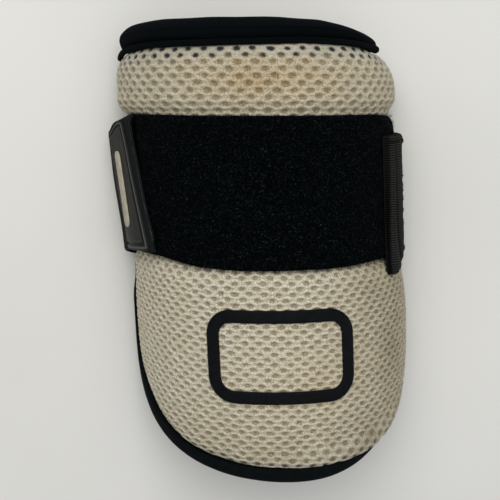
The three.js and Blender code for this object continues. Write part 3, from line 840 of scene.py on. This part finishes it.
def make_cover():
    rows, across = cover_rows(), np.linspace(-1, 1, COVER_COLUMNS)
    row, side = np.meshgrid(rows, across, indexing="ij")
    y, share, edge = pad_place(row, side)
    u, v = lattice(y, share)
    shown = smooth_step(0.2, 1.4, edge)
    height = (RELIEF * (lattice_relief(u, v) - 1) + RELIEF_RISE) * shown
    height = height * (1 - smooth_step(STRAP_LOW_Y - 0.5, STRAP_LOW_Y + 1.5, y)
                       * (1 - smooth_step(STRAP_TOP_Y - 1.5, STRAP_TOP_Y + 0.5, y)))
    # The left side is drawn in below the strap and stands out just above it
    below_strap = smooth_step(-0.4, -0.85, share) * smooth_step(6, -2, y)
    above_strap = smooth_step(0, 1.2, y - STRAP_TOP_Y) * smooth_step(9, 2, y - STRAP_TOP_Y)
    drawn_in = np.maximum(0, 2.0 - groove_depth(y)) * below_strap
    drawn_in = drawn_in - 1.5 * smooth_step(-0.5, -0.85, share) * above_strap
    lip_y, lip_share, lip_depth = lip_place(y, share, edge)
    lifted = lip_depth + drawn_in - fine_swell(rows, across) - height
    outer = pad_point(lip_y, lip_share, lifted)

    inner_rows = np.unique(np.append(rows[::12], rows[-1]))[::-1]
    inner_row, inner_side = np.meshgrid(inner_rows, across[::15], indexing="ij")
    iy, ishare, _ = pad_place(inner_row, inner_side)
    inner = pad_point(iy, ishare, groove_depth(iy) + COVER_THICKNESS)

    first = np.arange(row.size).reshape(row.shape)
    second = row.size + np.arange(inner_row.size).reshape(inner_row.shape)
    faces = grid_faces(*row.shape).tolist()
    faces += grid_faces(*inner_row.shape, row.size, flip=True).tolist()
    faces += joined(first[::-1, 0], second[::-1, 0]) + joined(first[:, -1], second[:, -1])
    faces += joined(first[0], second[0]) + joined(first[-1, ::-1], second[-1, ::-1])
    points = np.concatenate([outer.reshape(-1, 3), inner.reshape(-1, 3)])
    uv = np.zeros((len(points), 2))
    uv[: row.size] = np.stack([u.ravel(), v.ravel()], axis=-1)
    cover = make_piece("padded_cover", points, faces, "cream_mesh", cream_mesh, uv, ["cover_pad"])

    # Where the openings show a dark ground, where the fabric is stained, and where it is greyed
    # and darkened: painted shade on the right of its lower part and on its top, most on the top's
    # left, and darker towards its low end and along its edges
    from_top = TOP_EDGE_Y - row + smooth_noise(share * 9, y * 0.05, 3) * 1.6
    at_end = smooth_step(END_ROUND_Y + 10, END_ROUND_Y - 10, y)
    slits = 0.7 * (1 - smooth_step(1.5, 4.5, edge)) * at_end
    x = share * HALF_GIRTH
    stain = hump(x, 2, 30) * hump(y, 66, 8.5) + 0.3 * hump(x, 12, 24) * hump(y, -46, 22)
    # low_end and by_edge darken towards the low end and the edges; right_side and top are painted
    # shade
    low_end = 0.55 * smooth_step(-52, -78, y)
    right_side = 1.2 * smooth_step(0.1, 0.75, share) * smooth_step(40, 0, y)
    top = smooth_step(35, 52, y) * (0.48 + 0.1 * smooth_step(0, -0.6, share))
    by_edge = 0.4 * (1 - smooth_step(0.5, 5.0, edge))
    add_value(cover, "dark_floor", np.clip(smooth_step(6.4, 3.2, from_top) + slits, 0, 1))
    add_value(cover, "stain", stain)
    add_value(cover, "painted_shade_and_darkening", np.clip(low_end + right_side + top + by_edge, 0, 1))
    return cover


def joined(many, few):
    """Triangles between a fine line of vertices and a coarse one that run side by side."""
    faces, j = [], 0
    for i in range(len(many) - 1):
        faces.append([int(many[i]), int(many[i + 1]), int(few[j])])
        while j + 1 < len(few) and (i + 1) / (len(many) - 1) >= (j + 1) / (len(few) - 1) - 1e-9:
            faces.append([int(many[i + 1]), int(few[j + 1]), int(few[j])])
            j += 1
    return faces


def make_base():
    fine_rows = cover_rows()
    picked = fine_rows[np.linspace(0, len(fine_rows) - 1, 280).astype(int)]
    rows = np.interp(np.linspace(0, 1, 70), np.linspace(0, 1, 280), picked)
    columns = np.sin(np.linspace(-1, 1, 61) * QUARTER_TURN)
    row, side = np.meshgrid(rows, columns, indexing="ij")
    y, share, _ = pad_place(row, side)
    under = groove_depth(y) + COVER_THICKNESS + GAP
    sheet = closed_sheet(*(pad_point(y, share, under + d) for d in (0, BASE_THICKNESS)))
    base = make_piece("foam_base", *sheet, "black_foam", black_foam, None, ["base_pad"])
    return base


# Rim, collar and piping ----------------------------------------------------


def edge_sections(y, share, depth, turn, section):
    """Sections along the pad's edge. Section holds inward and away for each station."""
    path = pad_point(y, share, depth)
    out = arch_normal(y, share * QUARTER_TURN)
    away = unit(np.cross(unit(np.gradient(path, axis=0)), out)) * turn
    inward, beyond = section[..., :1], section[..., 1:]
    corners = path[:, None] - out[:, None] * inward + away[:, None] * beyond
    return corners if turn > 0 else corners[:, ::-1]


def rounded_polygon(corners, count):
    """A closed smooth line through the corners, by even steps of its length."""
    closed = np.concatenate([corners, corners[:1]])
    for _ in range(3):
        a, b = closed[:-1], closed[1:]
        cut = np.stack([a * 0.75 + b * 0.25, a * 0.25 + b * 0.75], axis=1).reshape(-1, 2)
        closed = np.concatenate([cut, cut[:1]])
    length = np.concatenate([[0], np.cumsum(np.linalg.norm(np.diff(closed, axis=0), axis=1))])
    even = np.linspace(0, length[-1], count + 1)[:-1]
    return np.stack([np.interp(even, length, closed[:, k]) for k in range(2)], axis=1)


def make_rim():
    side_y = np.linspace(SIDE_TOP_Y, END_ROUND_Y, 90, endpoint=False)
    turn = np.linspace(0, 1, 90) * QUARTER_TURN
    round_y = END_ROUND_Y - END_ROUND_LENGTH * np.sin(turn) ** (2 / END_ROUND_POWER)
    left_y = np.concatenate([side_y, round_y])
    left_share = np.concatenate([np.ones(90), np.cos(turn) ** (2 / END_ROUND_POWER)])
    y = np.concatenate([left_y, left_y[-2::-1]])
    share = np.concatenate([-left_share, left_share[-2::-1]])
    depth = groove_depth(y) + between(RIM_SINK, RIM_RIGHT_SINK, smooth_step(0, 0.7, share))
    width = between(RIM_END_WIDTH, RIM_WIDTH, share * share)
    toward = direction(y, share)
    shift = np.interp(toward, *RIM_SHIFT.T) * (1 - smooth_step(-16, 4, y))
    inner = GAP + np.minimum(0, lip_reach(y, share))
    outer = GAP + width + shift
    # The left side flares out a little below the round's start and in above it
    flare = 0.35 * smooth_step(-12, -24, y) - 0.8 * smooth_step(-24, -12, y)
    flare = smooth_step(-40, -66, toward) * flare
    shape = rounded_polygon(RIM_SECTION, 26)
    section = np.zeros((len(y), len(shape), 2))
    section[..., 0] = shape[:, 0] * RIM_THICKNESS - flare[:, None]
    section[..., 1] = inner[:, None] + shape[:, 1] * (outer - inner)[:, None]
    solid = swept(edge_sections(y, share, depth, 1, section))
    rim = make_piece("foam_rim", *solid, "black_foam", black_foam, None, ["rim"])
    return rim


def make_collar():
    share = np.interp(np.linspace(0, 1, 150), [0, 0.06, 0.9, 1], [-0.94, -0.9, 0.79, 0.84])
    size = np.interp(share, *COLLAR_STATIONS.T)
    ends = np.array([0.3, 0.55, 0.72, 0.85, 0.94])
    size[:5] *= ends
    size[-5:] *= ends[::-1]
    size = size * (1 + 0.018 * smooth_noise(share * 2.2, np.zeros(len(share)), 11))
    turn = np.linspace(0, 1, 41)[1:] * 2 * math.pi
    bow = 0.75 * top_bow(share)
    wide, long = size[:, None], (COLLAR_LENGTH * size - bow)[:, None]
    section = np.zeros((len(share), len(turn), 2))
    section[..., 0] = COLLAR_THICKNESS / 2 * (1 - wide * np.cos(turn))
    section[..., 1] = COLLAR_OFFSET + bow[:, None] + long / 2 * (1 + np.sin(turn))
    y = TOP_EDGE_Y - top_drop(share)
    solid = swept(edge_sections(y, share, COLLAR_SINK + 0 * y, -1, section))
    round_it = turn[::-1] * COLLAR_THICKNESS / 2
    uv = np.stack(np.meshgrid(share * HALF_GIRTH, round_it, indexing="ij"), axis=-1)
    uv = uv.reshape(-1, 2)
    collar = make_piece("knit_collar", *solid, "black_knit", black_knit, uv, ["collar_roll"])
    return collar


def make_piping():
    ends = (-math.asin(PIPING_LEFT_REACH), math.asin(PIPING_RIGHT_REACH))
    share = np.sin(np.linspace(*ends, 140))
    turn = np.linspace(0, 1, 17)[1:] * 2 * math.pi
    radius = PIPING_DIAMETER / 2 * (1 + 0.3 * smooth_step(0.6, 0.74, share))[:, None]
    from_end = np.minimum(np.arange(140), np.arange(140)[::-1]) + 1
    size = np.minimum(1, from_end / 4)[:, None] ** 0.5
    bow = 0.75 * top_bow(share)[:, None]
    section = np.zeros((len(share), len(turn), 2))
    section[..., 0] = radius - radius * size * np.cos(turn)
    section[..., 1] = PIPING_OFFSET + bow + radius * (1 + size * np.sin(turn))
    y = TOP_EDGE_Y - top_drop(share)
    solid = swept(edge_sections(y, share, PIPING_SINK + 0 * y, -1, section))
    uv = np.stack(np.meshgrid(share * HALF_GIRTH, turn, indexing="ij"), axis=-1)
    uv = uv.reshape(-1, 2)
    return make_piece("edge_piping", *solid, "black_knit", black_knit, uv, ["piping"])


# The strap -----------------------------------------------------------------


def band_cut(y, angle):
    """How far the band's edges lie below straight ones: the top edge comes down at its
    right end, and the lower one sags in the middle and rises at its left end."""
    top = 1.1 * smooth_step(0.8, 1.25, angle) + 1.2 * smooth_step(1.2, 1.29, angle)
    sag = 0.45 * smooth_step(-0.6, -0.3, angle) * smooth_step(0.9, 0.4, angle)
    low = sag - 2.3 * smooth_step(-0.48, -0.92, angle)
    near_top = smooth_step(STRAP_TOP_Y - 8, STRAP_TOP_Y, y)
    return top * near_top + low * smooth_step(STRAP_LOW_Y + 8, STRAP_LOW_Y, y)


def make_band():
    rows = np.linspace(STRAP_TOP_Y, STRAP_LOW_Y, 70)
    turns = np.radians(np.linspace(-BAND_LEFT_ANGLE - BAND_TUCK_ANGLE, BAND_RIGHT_ANGLE, 160))
    y, angle = np.meshgrid(rows, turns, indexing="ij")
    from_edge = STRAP_WIDTH / 2 - np.abs(y - STRAP_MIDDLE_Y)
    y = y - band_cut(y, angle)
    soft = 1 - np.exp(-from_edge / 0.8)
    pile = 0.18 * smooth_noise(angle * 22, y * 0.42, 21) * soft
    ragged = 0.12 * smooth_noise(angle * 60, y * 0.1, 23) * (1 - soft)
    rise = 0.9 + (BAND_THICKNESS - 0.9) * soft + pile
    # The left end is tucked under the strap, and the right end lies flatter
    tucked = 0.9 * smooth_step(math.radians(-58), math.radians(-62), angle)
    below = STRAP_TOP_Y - y
    corner = 1.0 * np.exp(-below / 4.0) - 0.5 * smooth_step(3, 14, below)
    down = tucked + smooth_step(0.85, 1.2, angle) * corner
    bed = GROOVE_DEPTH - GAP
    outer = arch_point(y + ragged * np.sign(y - STRAP_MIDDLE_Y), angle, bed - rise)
    outer = outer - arch_normal(y, angle) * down[..., None]
    sheet = closed_sheet(outer, arch_point(y, angle, bed))
    band = make_piece("loop_band", *sheet, "loop_fabric", loop_pile, None, ["front_band"])
    return band


def route_stops():
    """The elastic's inner face round one section: place, direction out, and lean."""
    over = max(GAP, BAND_THICKNESS + 2 * GAP - GROOVE_DEPTH)
    a = half_width(STRAP_MIDDLE_Y) + over
    b = crown_height(STRAP_MIDDLE_Y) + over

    def on_arch(angle):
        out = np.array([math.sin(angle) / a, math.cos(angle) / b])
        return np.array([a * math.sin(angle), b * math.cos(angle)]), out / np.linalg.norm(out), 0.0

    def on_bend(x, radius, lean, turn):
        out = np.array([math.cos(turn), math.sin(turn)])
        return np.array([x, ELASTIC_THICKNESS + radius]) + radius * out, out, lean

    side_turn = math.acos((ELASTIC_THICKNESS + SIDE_BEND_RADIUS) / b)
    side_x = a * math.sin(side_turn) - SIDE_BEND_RADIUS
    free_x = FREE_BEND_RADIUS - half_width(STRAP_MIDDLE_Y) - STAND_OFF
    centre = np.array([free_x, ELASTIC_THICKNESS + FREE_BEND_RADIUS])
    near, far = math.radians(-ELASTIC_FREE_ANGLE / 2), -QUARTER_TURN
    for _ in range(40):
        turn = (near + far) / 2
        place, out, _lean = on_arch(turn)
        if (place - centre) @ out > FREE_BEND_RADIUS:
            near = turn
        else:
            far = turn
    out = on_arch(near)[1]
    leave = math.atan2(out[1], out[0]) % (2 * math.pi) - 2 * math.pi
    past = math.tan(math.radians(FREE_TURN)) * ELASTIC_WIDTH / b - math.radians(ELASTIC_FREE_ANGLE)
    sewn_turn = math.radians(ELASTIC_SEWN_ANGLE)
    stops = [on_arch(t) for t in np.linspace(sewn_turn, side_turn, 24)]
    stops.insert(0, on_arch(sewn_turn - math.radians(6)))
    stops += [on_bend(side_x, SIDE_BEND_RADIUS, 0.0, t) for t in np.linspace(0, -QUARTER_TURN, 12)]
    free_turns = np.linspace(-QUARTER_TURN, leave, 18)
    stops += [on_bend(free_x, FREE_BEND_RADIUS, 1.0, t) for t in free_turns]
    stops += [on_arch(t) for t in np.linspace(near, -math.radians(ELASTIC_FREE_ANGLE), 14)]
    stops.append(on_arch(past))
    return stops[::-1]


STOP_PLACES, STOP_OUTS, STOP_LEANS = (np.array(column) for column in zip(*route_stops()))
STOP_STEPS = np.linalg.norm(np.diff(STOP_PLACES, axis=0), axis=1)
STOP_DISTANCES = np.concatenate([[0], np.cumsum(STOP_STEPS)])
STOP_DISTANCES = STOP_DISTANCES - STOP_DISTANCES[1]
FLAT_START, FLAT_END = STOP_DISTANCES[32], STOP_DISTANCES[33]
SEWN_END = STOP_DISTANCES[-2]


def free_edge(along):
    """How far in along the strap its trimmed end lies, slanted and with one long corner."""
    upper = 1.3 * smooth_step(6, 20, along) - 4.6 * smooth_step(23.5, 26.7, along)
    lower = 1.6 * smooth_step(-18.5, -25, along)
    return FREE_EDGE + 0.055 * along - 0.0022 * along**2 + upper + lower


def drawn_bend(distance, along):
    """How far the strap's lower side is drawn towards the arm where it bends round it."""
    at_bend = smooth_step(17, 26, distance) * smooth_step(44, 34, distance)
    return 1.3 * smooth_step(10, -22, along) * at_bend


def drift_at(distance):
    length = 2 * ELASTIC_DRIFT / math.tan(math.radians(FREE_TURN))
    left = 1 - np.clip(distance, 0, length) / length
    return ELASTIC_DRIFT * (1 - left * left)


def route_point(distance, along, rise):
    turned = math.tan(math.radians(FREE_TURN)) * (1 - smooth_step(0, TURN_LENGTH, distance))
    columns = (*STOP_PLACES.T, *STOP_OUTS.T, STOP_LEANS)
    reach = distance + turned * along
    x, z, out_x, out_z, lean = (np.interp(reach, STOP_DISTANCES, column) for column in columns)
    length = np.hypot(out_x, out_z)
    x, z = x + out_x / length * rise, z + out_z / length * rise
    y = ELASTIC_MIDDLE_Y + along - drift_at(distance)
    widening = half_width(y) / half_width(STRAP_MIDDLE_Y)
    shift = lean * LEAN_IN * (0.5 - along / ELASTIC_WIDTH)
    return np.stack(np.broadcast_arrays(middle_x(y) + x * widening + shift, y, z), axis=-1)


def elastic_sides(distance):
    """The elastic's upper and lower side from its middle line. Its free end is trimmed,
    and both sides draw in where it bends round the arm."""
    widening = smooth_step(24, 50, distance)
    trimmed = between(-25.7, -23.9, smooth_step(4, 18, distance))
    upper = between(26.9, ELASTIC_WIDTH / 2, widening) - 2.6 * hump(distance, 30, 5)
    lower = between(trimmed, -ELASTIC_WIDTH / 2, widening)
    return upper, lower + 6.5 * hump(SEWN_END - distance, NARROWED_AT, 8)


def side_bulge(along):
    """How far the elastic bulges out at the arm's right side, drawn in at its lower end."""
    return 1.0 - 1.0 * smooth_step(-14, -26, along)


def make_elastic():
    shares = np.linspace(1, -1, 131)
    free_side = np.linspace(0, FLAT_START, 100)
    flat = np.linspace(FLAT_START, FLAT_END, 30)[1:-1]
    sewn_side = np.linspace(FLAT_END, SEWN_END + FOLD_REACH, 120)
    distances = np.concatenate([free_side, flat, sewn_side])[::-1]
    side, distance = np.meshgrid(shares, distances, indexing="ij")
    upper, lower = elastic_sides(distance)
    along = between(lower, upper, side / 2 + 0.5)
    from_edge = np.minimum(upper - along, along - lower)
    from_sewn = SEWN_END + FOLD_REACH - distance
    from_fold = from_sewn - FOLD_REACH
    distance = distance + free_edge(along) * (1 - smooth_step(0, 20, distance))
    distance = distance + 1.4 * smooth_step(-14, -28, along) * (1 - smooth_step(0, 6, from_sewn))
    on_side = 1 - smooth_step(24, 40, from_sewn)
    # The sewn end: a folded layer darkened with painted shade, then two ribs with a slanted crease
    # between them
    fold_width = between(2.6, 1.4, smooth_step(20, -20, along))
    fold = 1 - smooth_step(fold_width - 0.3, fold_width + 0.4, from_sewn)
    crease_at = FOLD_REACH + 4.6 - 0.02 * along + 0.008 * np.minimum(0, along + 2) ** 2
    crease = hump(from_sewn, crease_at, 0.95) * (1 - fold)
    first = hump(from_sewn - fold_width, 2.8, 2.2)
    second = hump(from_fold, 13, 7) * side_bulge(along)
    nubs = sum(
        rise * hump(from_fold, place, 0.9) * hump(along, spot, long)
        for place, spot, rise, long in NUBS
    )
    on_top = (along > 0) * (1 - fold)
    hem = (1 - smooth_step(2.0, 2.6, from_edge)) * on_top
    hem_line = hump(from_edge, 2.5, 0.35) * on_top
    ripple = 0.12 * smooth_noise(from_sewn * 0.06, along * 0.11, 31)
    lift = 0.9 * first + second + 0.35 * hem - 1.1 * crease - 0.3 * hem_line + nubs + ripple
    sunk = 0.75 * fold + 0.7 * np.exp(-from_edge / 0.45) + 0.45 * np.exp(-from_sewn / 0.35)
    free = 1 - smooth_step(18, 24, distance)
    from_free = np.maximum(0, distance - free_edge(along))
    sunk = sunk + free * (0.5 + 0.5 * np.exp(-from_free / 0.5))
    drawn = drawn_bend(distance, along)
    rise = ELASTIC_THICKNESS + np.maximum(lift * on_side - sunk, -1.35)
    outer = route_point(distance, along, rise - drawn)
    inner = route_point(distance, along, np.where(from_edge < 0.4, 0.25, 0.0) - drawn)
    uv = np.tile(np.stack([distance, along], axis=-1).reshape(-1, 2), (2, 1))
    sheet = closed_sheet(outer, inner)
    elastic = make_piece(
        "elastic_webbing", *sheet, "elastic_webbing", webbing, uv, ["elastic_strap"]
    )
    # Painted shade: the fold, darker towards the lower side, and the crease; the hem's line is
    # darkened as well
    shade = fold * (0.8 + 0.2 * smooth_step(20, -5, along))
    add_value(elastic, "crease", np.clip(crease + 0.8 * hem_line + shade, 0, 1) * on_side)
    add_value(elastic, "bound", free)
    return elastic


def make_fray():
    """Loose threads where the elastic was cut: at its free edge and its sewn end."""
    along = RNG.uniform(-25, 26.8, FREE_THREADS)
    cut = free_edge(along) + 0.15
    free = route_point(cut, along, 1.0)
    free_out = free - route_point(cut + 1.05, along, 1.0)
    free_up = route_point(cut, along, 2.0) - free
    spots, counts = zip(*KNOTS)
    spot = np.repeat(spots, counts) + RNG.normal(0, 0.7, sum(counts))
    at = SEWN_END - 15 + RNG.normal(0, 2.2, len(spot))
    side_rise = ELASTIC_THICKNESS + 0.9 * side_bulge(spot) - 0.1
    side = route_point(at, spot, side_rise)
    side_up = route_point(at, spot, side_rise + 1) - side
    side_out = RNG.normal(0, 1, (3, len(spot))).T
    roots = np.concatenate([free, side])
    ups = unit(np.concatenate([free_up, side_up]))
    outs = np.concatenate([free_out, side_out]) + RNG.normal(0, 0.35, (len(roots), 3))
    outs = unit(outs - ups * (outs * ups).sum(axis=1, keepdims=True))
    free_lengths = RNG.uniform(0.3, 0.95, FREE_THREADS)
    lengths = np.concatenate([free_lengths, RNG.uniform(0.5, 1.2, len(spot))])
    threads = (roots, ups, outs, lengths, 0.2)
    return make_fibres("elastic_fray", threads, "elastic_webbing", fray_material)


def make_fibres(name, fibres, slot, material):
    """Short thin curved fibres: each leaves its root and bends along its direction."""
    roots, normals, tangents, lengths, width = fibres
    long = lengths[:, None, None]
    steps = np.array([0.0, 0.4, 0.75, 1.0])[None, :, None]
    lift = np.array([0.0, 0.75, 1.0, 0.8])[None, :, None]
    taper = np.array([1.0, 0.9, 0.6, 0.15])[None, :, None] * width
    spots = roots[:, None] + tangents[:, None] * (steps * long)
    spots = spots + normals[:, None] * (lift * long * 0.45)
    side = np.cross(normals, tangents)[:, None] * taper / 2
    points = np.stack([spots - side, spots + side], axis=2).reshape(-1, 3)
    number = np.arange(len(roots) * 8).reshape(-1, 4, 2)
    a, b, c, d = number[:, :-1, 0], number[:, :-1, 1], number[:, 1:, 1], number[:, 1:, 0]
    faces = np.stack([a, b, c, d], axis=-1).reshape(-1, 4)
    return make_piece(name, points, faces, slot, material)


def make_band_fuzz():
    edge = RNG.random(FUZZ_FIBRES) < 0.22
    side = np.where(RNG.random(FUZZ_FIBRES) < 0.5, 1, -1)
    y = STRAP_MIDDLE_Y + STRAP_WIDTH / 2 * RNG.uniform(-0.99, 0.99, FUZZ_FIBRES)
    at_edge = STRAP_MIDDLE_Y + side * (STRAP_WIDTH / 2 - RNG.uniform(0, 0.6, FUZZ_FIBRES))
    y = np.where(edge, at_edge, y)
    angle = np.radians(RNG.uniform(-BAND_LEFT_ANGLE + 1, BAND_RIGHT_ANGLE - 1, FUZZ_FIBRES))
    y = np.where(angle > 1.2, np.minimum(y, STRAP_TOP_Y - 2.5), y)
    y = y - band_cut(y, angle)
    bed = GROOVE_DEPTH - GAP - BAND_THICKNESS
    roots = arch_point(y, angle, bed + np.where(edge, 0.5, 0.1))
    normals = arch_normal(y, angle)
    turn = RNG.uniform(0, 2 * math.pi, FUZZ_FIBRES)
    turn = np.where(edge, side * QUARTER_TURN + RNG.normal(0, 0.5, FUZZ_FIBRES), turn)
    across = np.stack([normals[:, 2], np.zeros(FUZZ_FIBRES), -normals[:, 0]], axis=-1)
    tangents = across * np.cos(turn)[:, None] + np.array([0, 1, 0]) * np.sin(turn)[:, None]
    fibres = (roots, normals, tangents, RNG.uniform(0.5, 1.5, FUZZ_FIBRES), 0.09)
    return make_fibres("band_fuzz", fibres, "loop_fabric", fuzz_material)


# The tab and the marks -----------------------------------------------------


def corner_inset(along, length, corner):
    past = np.maximum(0, np.abs(along) - (length / 2 - corner))
    return corner - np.sqrt(np.maximum(0, corner * corner - past * past))


def make_tab():
    """The tab: its near side slants, and its far one lies round the strap's bend."""
    half, reach = TAB_HALF_LENGTH, TAB_REACH
    fine = np.concatenate([np.linspace(0, 4, 36), np.linspace(4, half, 26)[1:]])
    alongs = np.concatenate([half - fine, (fine - half)[-2::-1]])
    sides = np.concatenate([np.linspace(0, 3, 34), np.linspace(3, reach, 26)[1:]])[::-1]
    along, side = np.meshgrid(alongs, sides, indexing="ij")
    inset = corner_inset(along, 2 * half, 1.2)
    near_side = 7.1 + 0.135 * along + 0.0015 * along**2 + inset
    distance = between(near_side, 26.6 + 0.03 * along, side / reach)
    upper = 1 + (0.8 - 2.6 * smooth_step(16, 27, distance)) / half
    lower = 1 - 0.06 * (distance - 5) / half
    placed = along * np.where(along > 0, upper, lower)
    from_edge = np.minimum(np.minimum((half - along) * 1.15, (half + along) * 0.7), side)
    from_edge = np.maximum(0, from_edge)
    lip = 1 - smooth_step(1.3, 1.5, from_edge)
    groove = hump(from_edge, 1.7, 0.45)
    rounded = 0.45 * np.exp(-from_edge / 0.25) + 0.45 * np.exp(-(reach - side) / 0.3)
    rise = (TAB_RISE - rounded) * smooth_step(-0.6, 1.3, side)
    rise = rise - 0.75 * groove + 0.1 * (1 - lip)
    under = ELASTIC_THICKNESS - TAB_SINK - drawn_bend(distance, placed)
    faces = (route_point(distance, placed, level) for level in (under + rise, under))
    sheet = closed_sheet(*faces)
    tab = make_piece("rubber_tab", *sheet, "tab_rubber", rubber, None, ["pull_tab"])
    # Painted highlight: a light line on the lip and a fainter one just inside the groove
    lightened = 0.9 * hump(from_edge, 0.8, 0.26) + 0.25 * hump(from_edge, 2.4, 0.22)
    add_value(tab, "lip", lip)
    add_value(tab, "groove", np.clip(3 * groove, 0, 1))
    add_value(tab, "edge_highlight", np.clip(lightened, 0, 1))
    return tab


def make_tab_mark():
    floor = ELASTIC_THICKNESS - TAB_SINK + TAB_RISE + 0.08
    alongs = TAB_MARK_LENGTH / 2 * np.cos(np.linspace(0, math.pi, 61))
    along, side = np.meshgrid(alongs, np.linspace(1, 0, 17), indexing="ij")
    round_end = TAB_MARK_WIDTH / 2
    inset = corner_inset(along, TAB_MARK_LENGTH, round_end) * 0.9
    across = between(inset, TAB_MARK_WIDTH - inset, side) - round_end
    half = np.maximum(round_end - inset, 0.05)
    from_edge = np.minimum(half - np.abs(across), TAB_MARK_LENGTH / 2 - np.abs(along))
    rise = MARK_RISE * (1 - 0.6 * np.exp(-np.maximum(from_edge, 0) / 0.3))
    place = TAB_MARK_MIDDLE + 0.06 * along + across
    sheet = closed_sheet(*(route_point(place, along, z) for z in (floor + 0.1 + rise, floor)))
    return make_piece("tab_bar", *sheet, "cream_print", cream_print, None, ["tab_mark"])


def make_front_mark():
    radius = (half_width(MARK_MIDDLE_Y) + crown_height(MARK_MIDDLE_Y)) / 2
    x, y = MARK_WIDTH / 2 - MARK_CORNER, MARK_HEIGHT / 2 - MARK_CORNER
    centres = np.array([(x, y), (-x, y), (-x, -y), (x, -y)])
    middles, turns = [], []
    for k in range(4):
        here, ahead = centres[k], centres[(k + 1) % 4]
        middles += [here] * 25
        turns += list((k + np.linspace(0, 1, 25)) * QUARTER_TURN)
        middles += list(here + (ahead - here) * np.linspace(0, 1, 50)[1:-1, None])
        turns += [(k + 1) * QUARTER_TURN] * 48
    middle, turn = np.array(middles)[:, None], np.array(turns)[:, None]
    # Across the stroke: how far in it lies, and its rise over the fabric
    outer_edge = [(0.15, 0.2), (0.02, 0.12), (0, -0.7)]
    inner_edge = [(MARK_STROKE - inset, rise) for inset, rise in outer_edge[::-1]]
    top = [(MARK_STROKE * t, 0.22) for t in (0.8, 0.6, 0.4, 0.2)]
    profile = np.array(inner_edge + top + outer_edge)
    inset, rise = profile[None, :, 0], profile[None, :, 1]
    across = middle[..., 0] + (MARK_CORNER - inset) * np.cos(turn)
    along = middle[..., 1] + (MARK_CORNER - inset) * np.sin(turn)
    at, angle = MARK_MIDDLE_Y + along, across / radius
    sag = 0.12 * (lattice_relief(*lattice(at, angle / side_angle(at, 0))) - 1)
    depth = -(MARK_SWELL + RELIEF_RISE + rise + np.where(rise > 0, sag, 0))
    solid = swept(arch_point(at, angle, depth), closed=True)
    return make_piece(
        "front_frame_mark", *solid, "black_print", black_print, None, ["front_mark"]
    )


# Camera, light and floor ---------------------------------------------------


def make_camera():
    """The photograph's view, from above and a little to the upper left."""
    back = np.array([*np.tan(np.radians(VIEW_TILT)), 1.0])
    back /= np.linalg.norm(back)
    right = np.cross([0, 1, 0], back)
    right /= np.linalg.norm(right)
    up = np.cross(back, right)
    eye = (np.array([0, 0, VIEW_HEIGHT]) + VIEW_DISTANCE * back + PLACE) * MM
    data = bpy.data.cameras.new("camera")
    data.sensor_width = 36
    data.lens = FOCAL_SHARE * data.sensor_width
    data.clip_start, data.clip_end = 0.01, 20
    camera = bpy.data.objects.new("camera", data)
    turn = Matrix((right, up, back)).transposed().to_4x4()
    camera.matrix_world = Matrix.Translation(Vector(eye)) @ turn
    bpy.context.scene.collection.objects.link(camera)
    bpy.context.scene.camera = camera


def make_light(name, place, aim, size, power, color):
    data = bpy.data.lights.new(name, "AREA")
    data.shape, data.size, data.energy, data.color = "DISK", size, power, color
    light = bpy.data.objects.new(name, data)
    light.location = place
    light.rotation_euler = (Vector(aim) - Vector(place)).to_track_quat("-Z", "Y").to_euler()
    bpy.context.scene.collection.objects.link(light)


def make_floor():
    mesh = bpy.data.meshes.new("floor")
    corners = [(-2, -2, 0), (2, -2, 0), (2, 2, 0), (-2, 2, 0)]
    mesh.from_pydata(corners, [], [(0, 1, 2, 3)])
    floor = bpy.data.objects.new("floor", mesh)
    mesh.materials.append(floor_material())
    bpy.context.scene.collection.objects.link(floor)


def make_surroundings():
    make_floor()
    warm, cool = (1.0, 0.985, 0.955), (0.97, 0.985, 1.0)
    make_light("key", (-0.12, 0.5, 0.72), (-0.02, 0.02, 0.03), 0.8, 4.6, warm)
    make_light("fill", (0.35, 0.1, 0.95), (0, 0, 0.03), 0.9, 1.5, cool)
    world = bpy.data.worlds.new("studio")
    world.use_nodes = True
    background = world.node_tree.nodes["Background"]
    background.inputs["Color"].default_value = (*cool, 1.0)
    background.inputs["Strength"].default_value = 0.52
    bpy.context.scene.world = world
    bpy.context.scene.view_settings.view_transform = "Standard"


fray_material = print_material("black_threads", rgb(24, 27, 28), rgb(92, 96, 98), 0.05)
fuzz_material = print_material("grey_fuzz", rgb(10, 14, 16), rgb(34, 40, 44), 0.05)

make_camera()
make_surroundings()
make_cover()
make_base()
make_rim()
make_collar()
make_piping()
make_band()
make_elastic()
make_fray()
make_band_fuzz()
make_tab()
make_tab_mark()
make_front_mark()
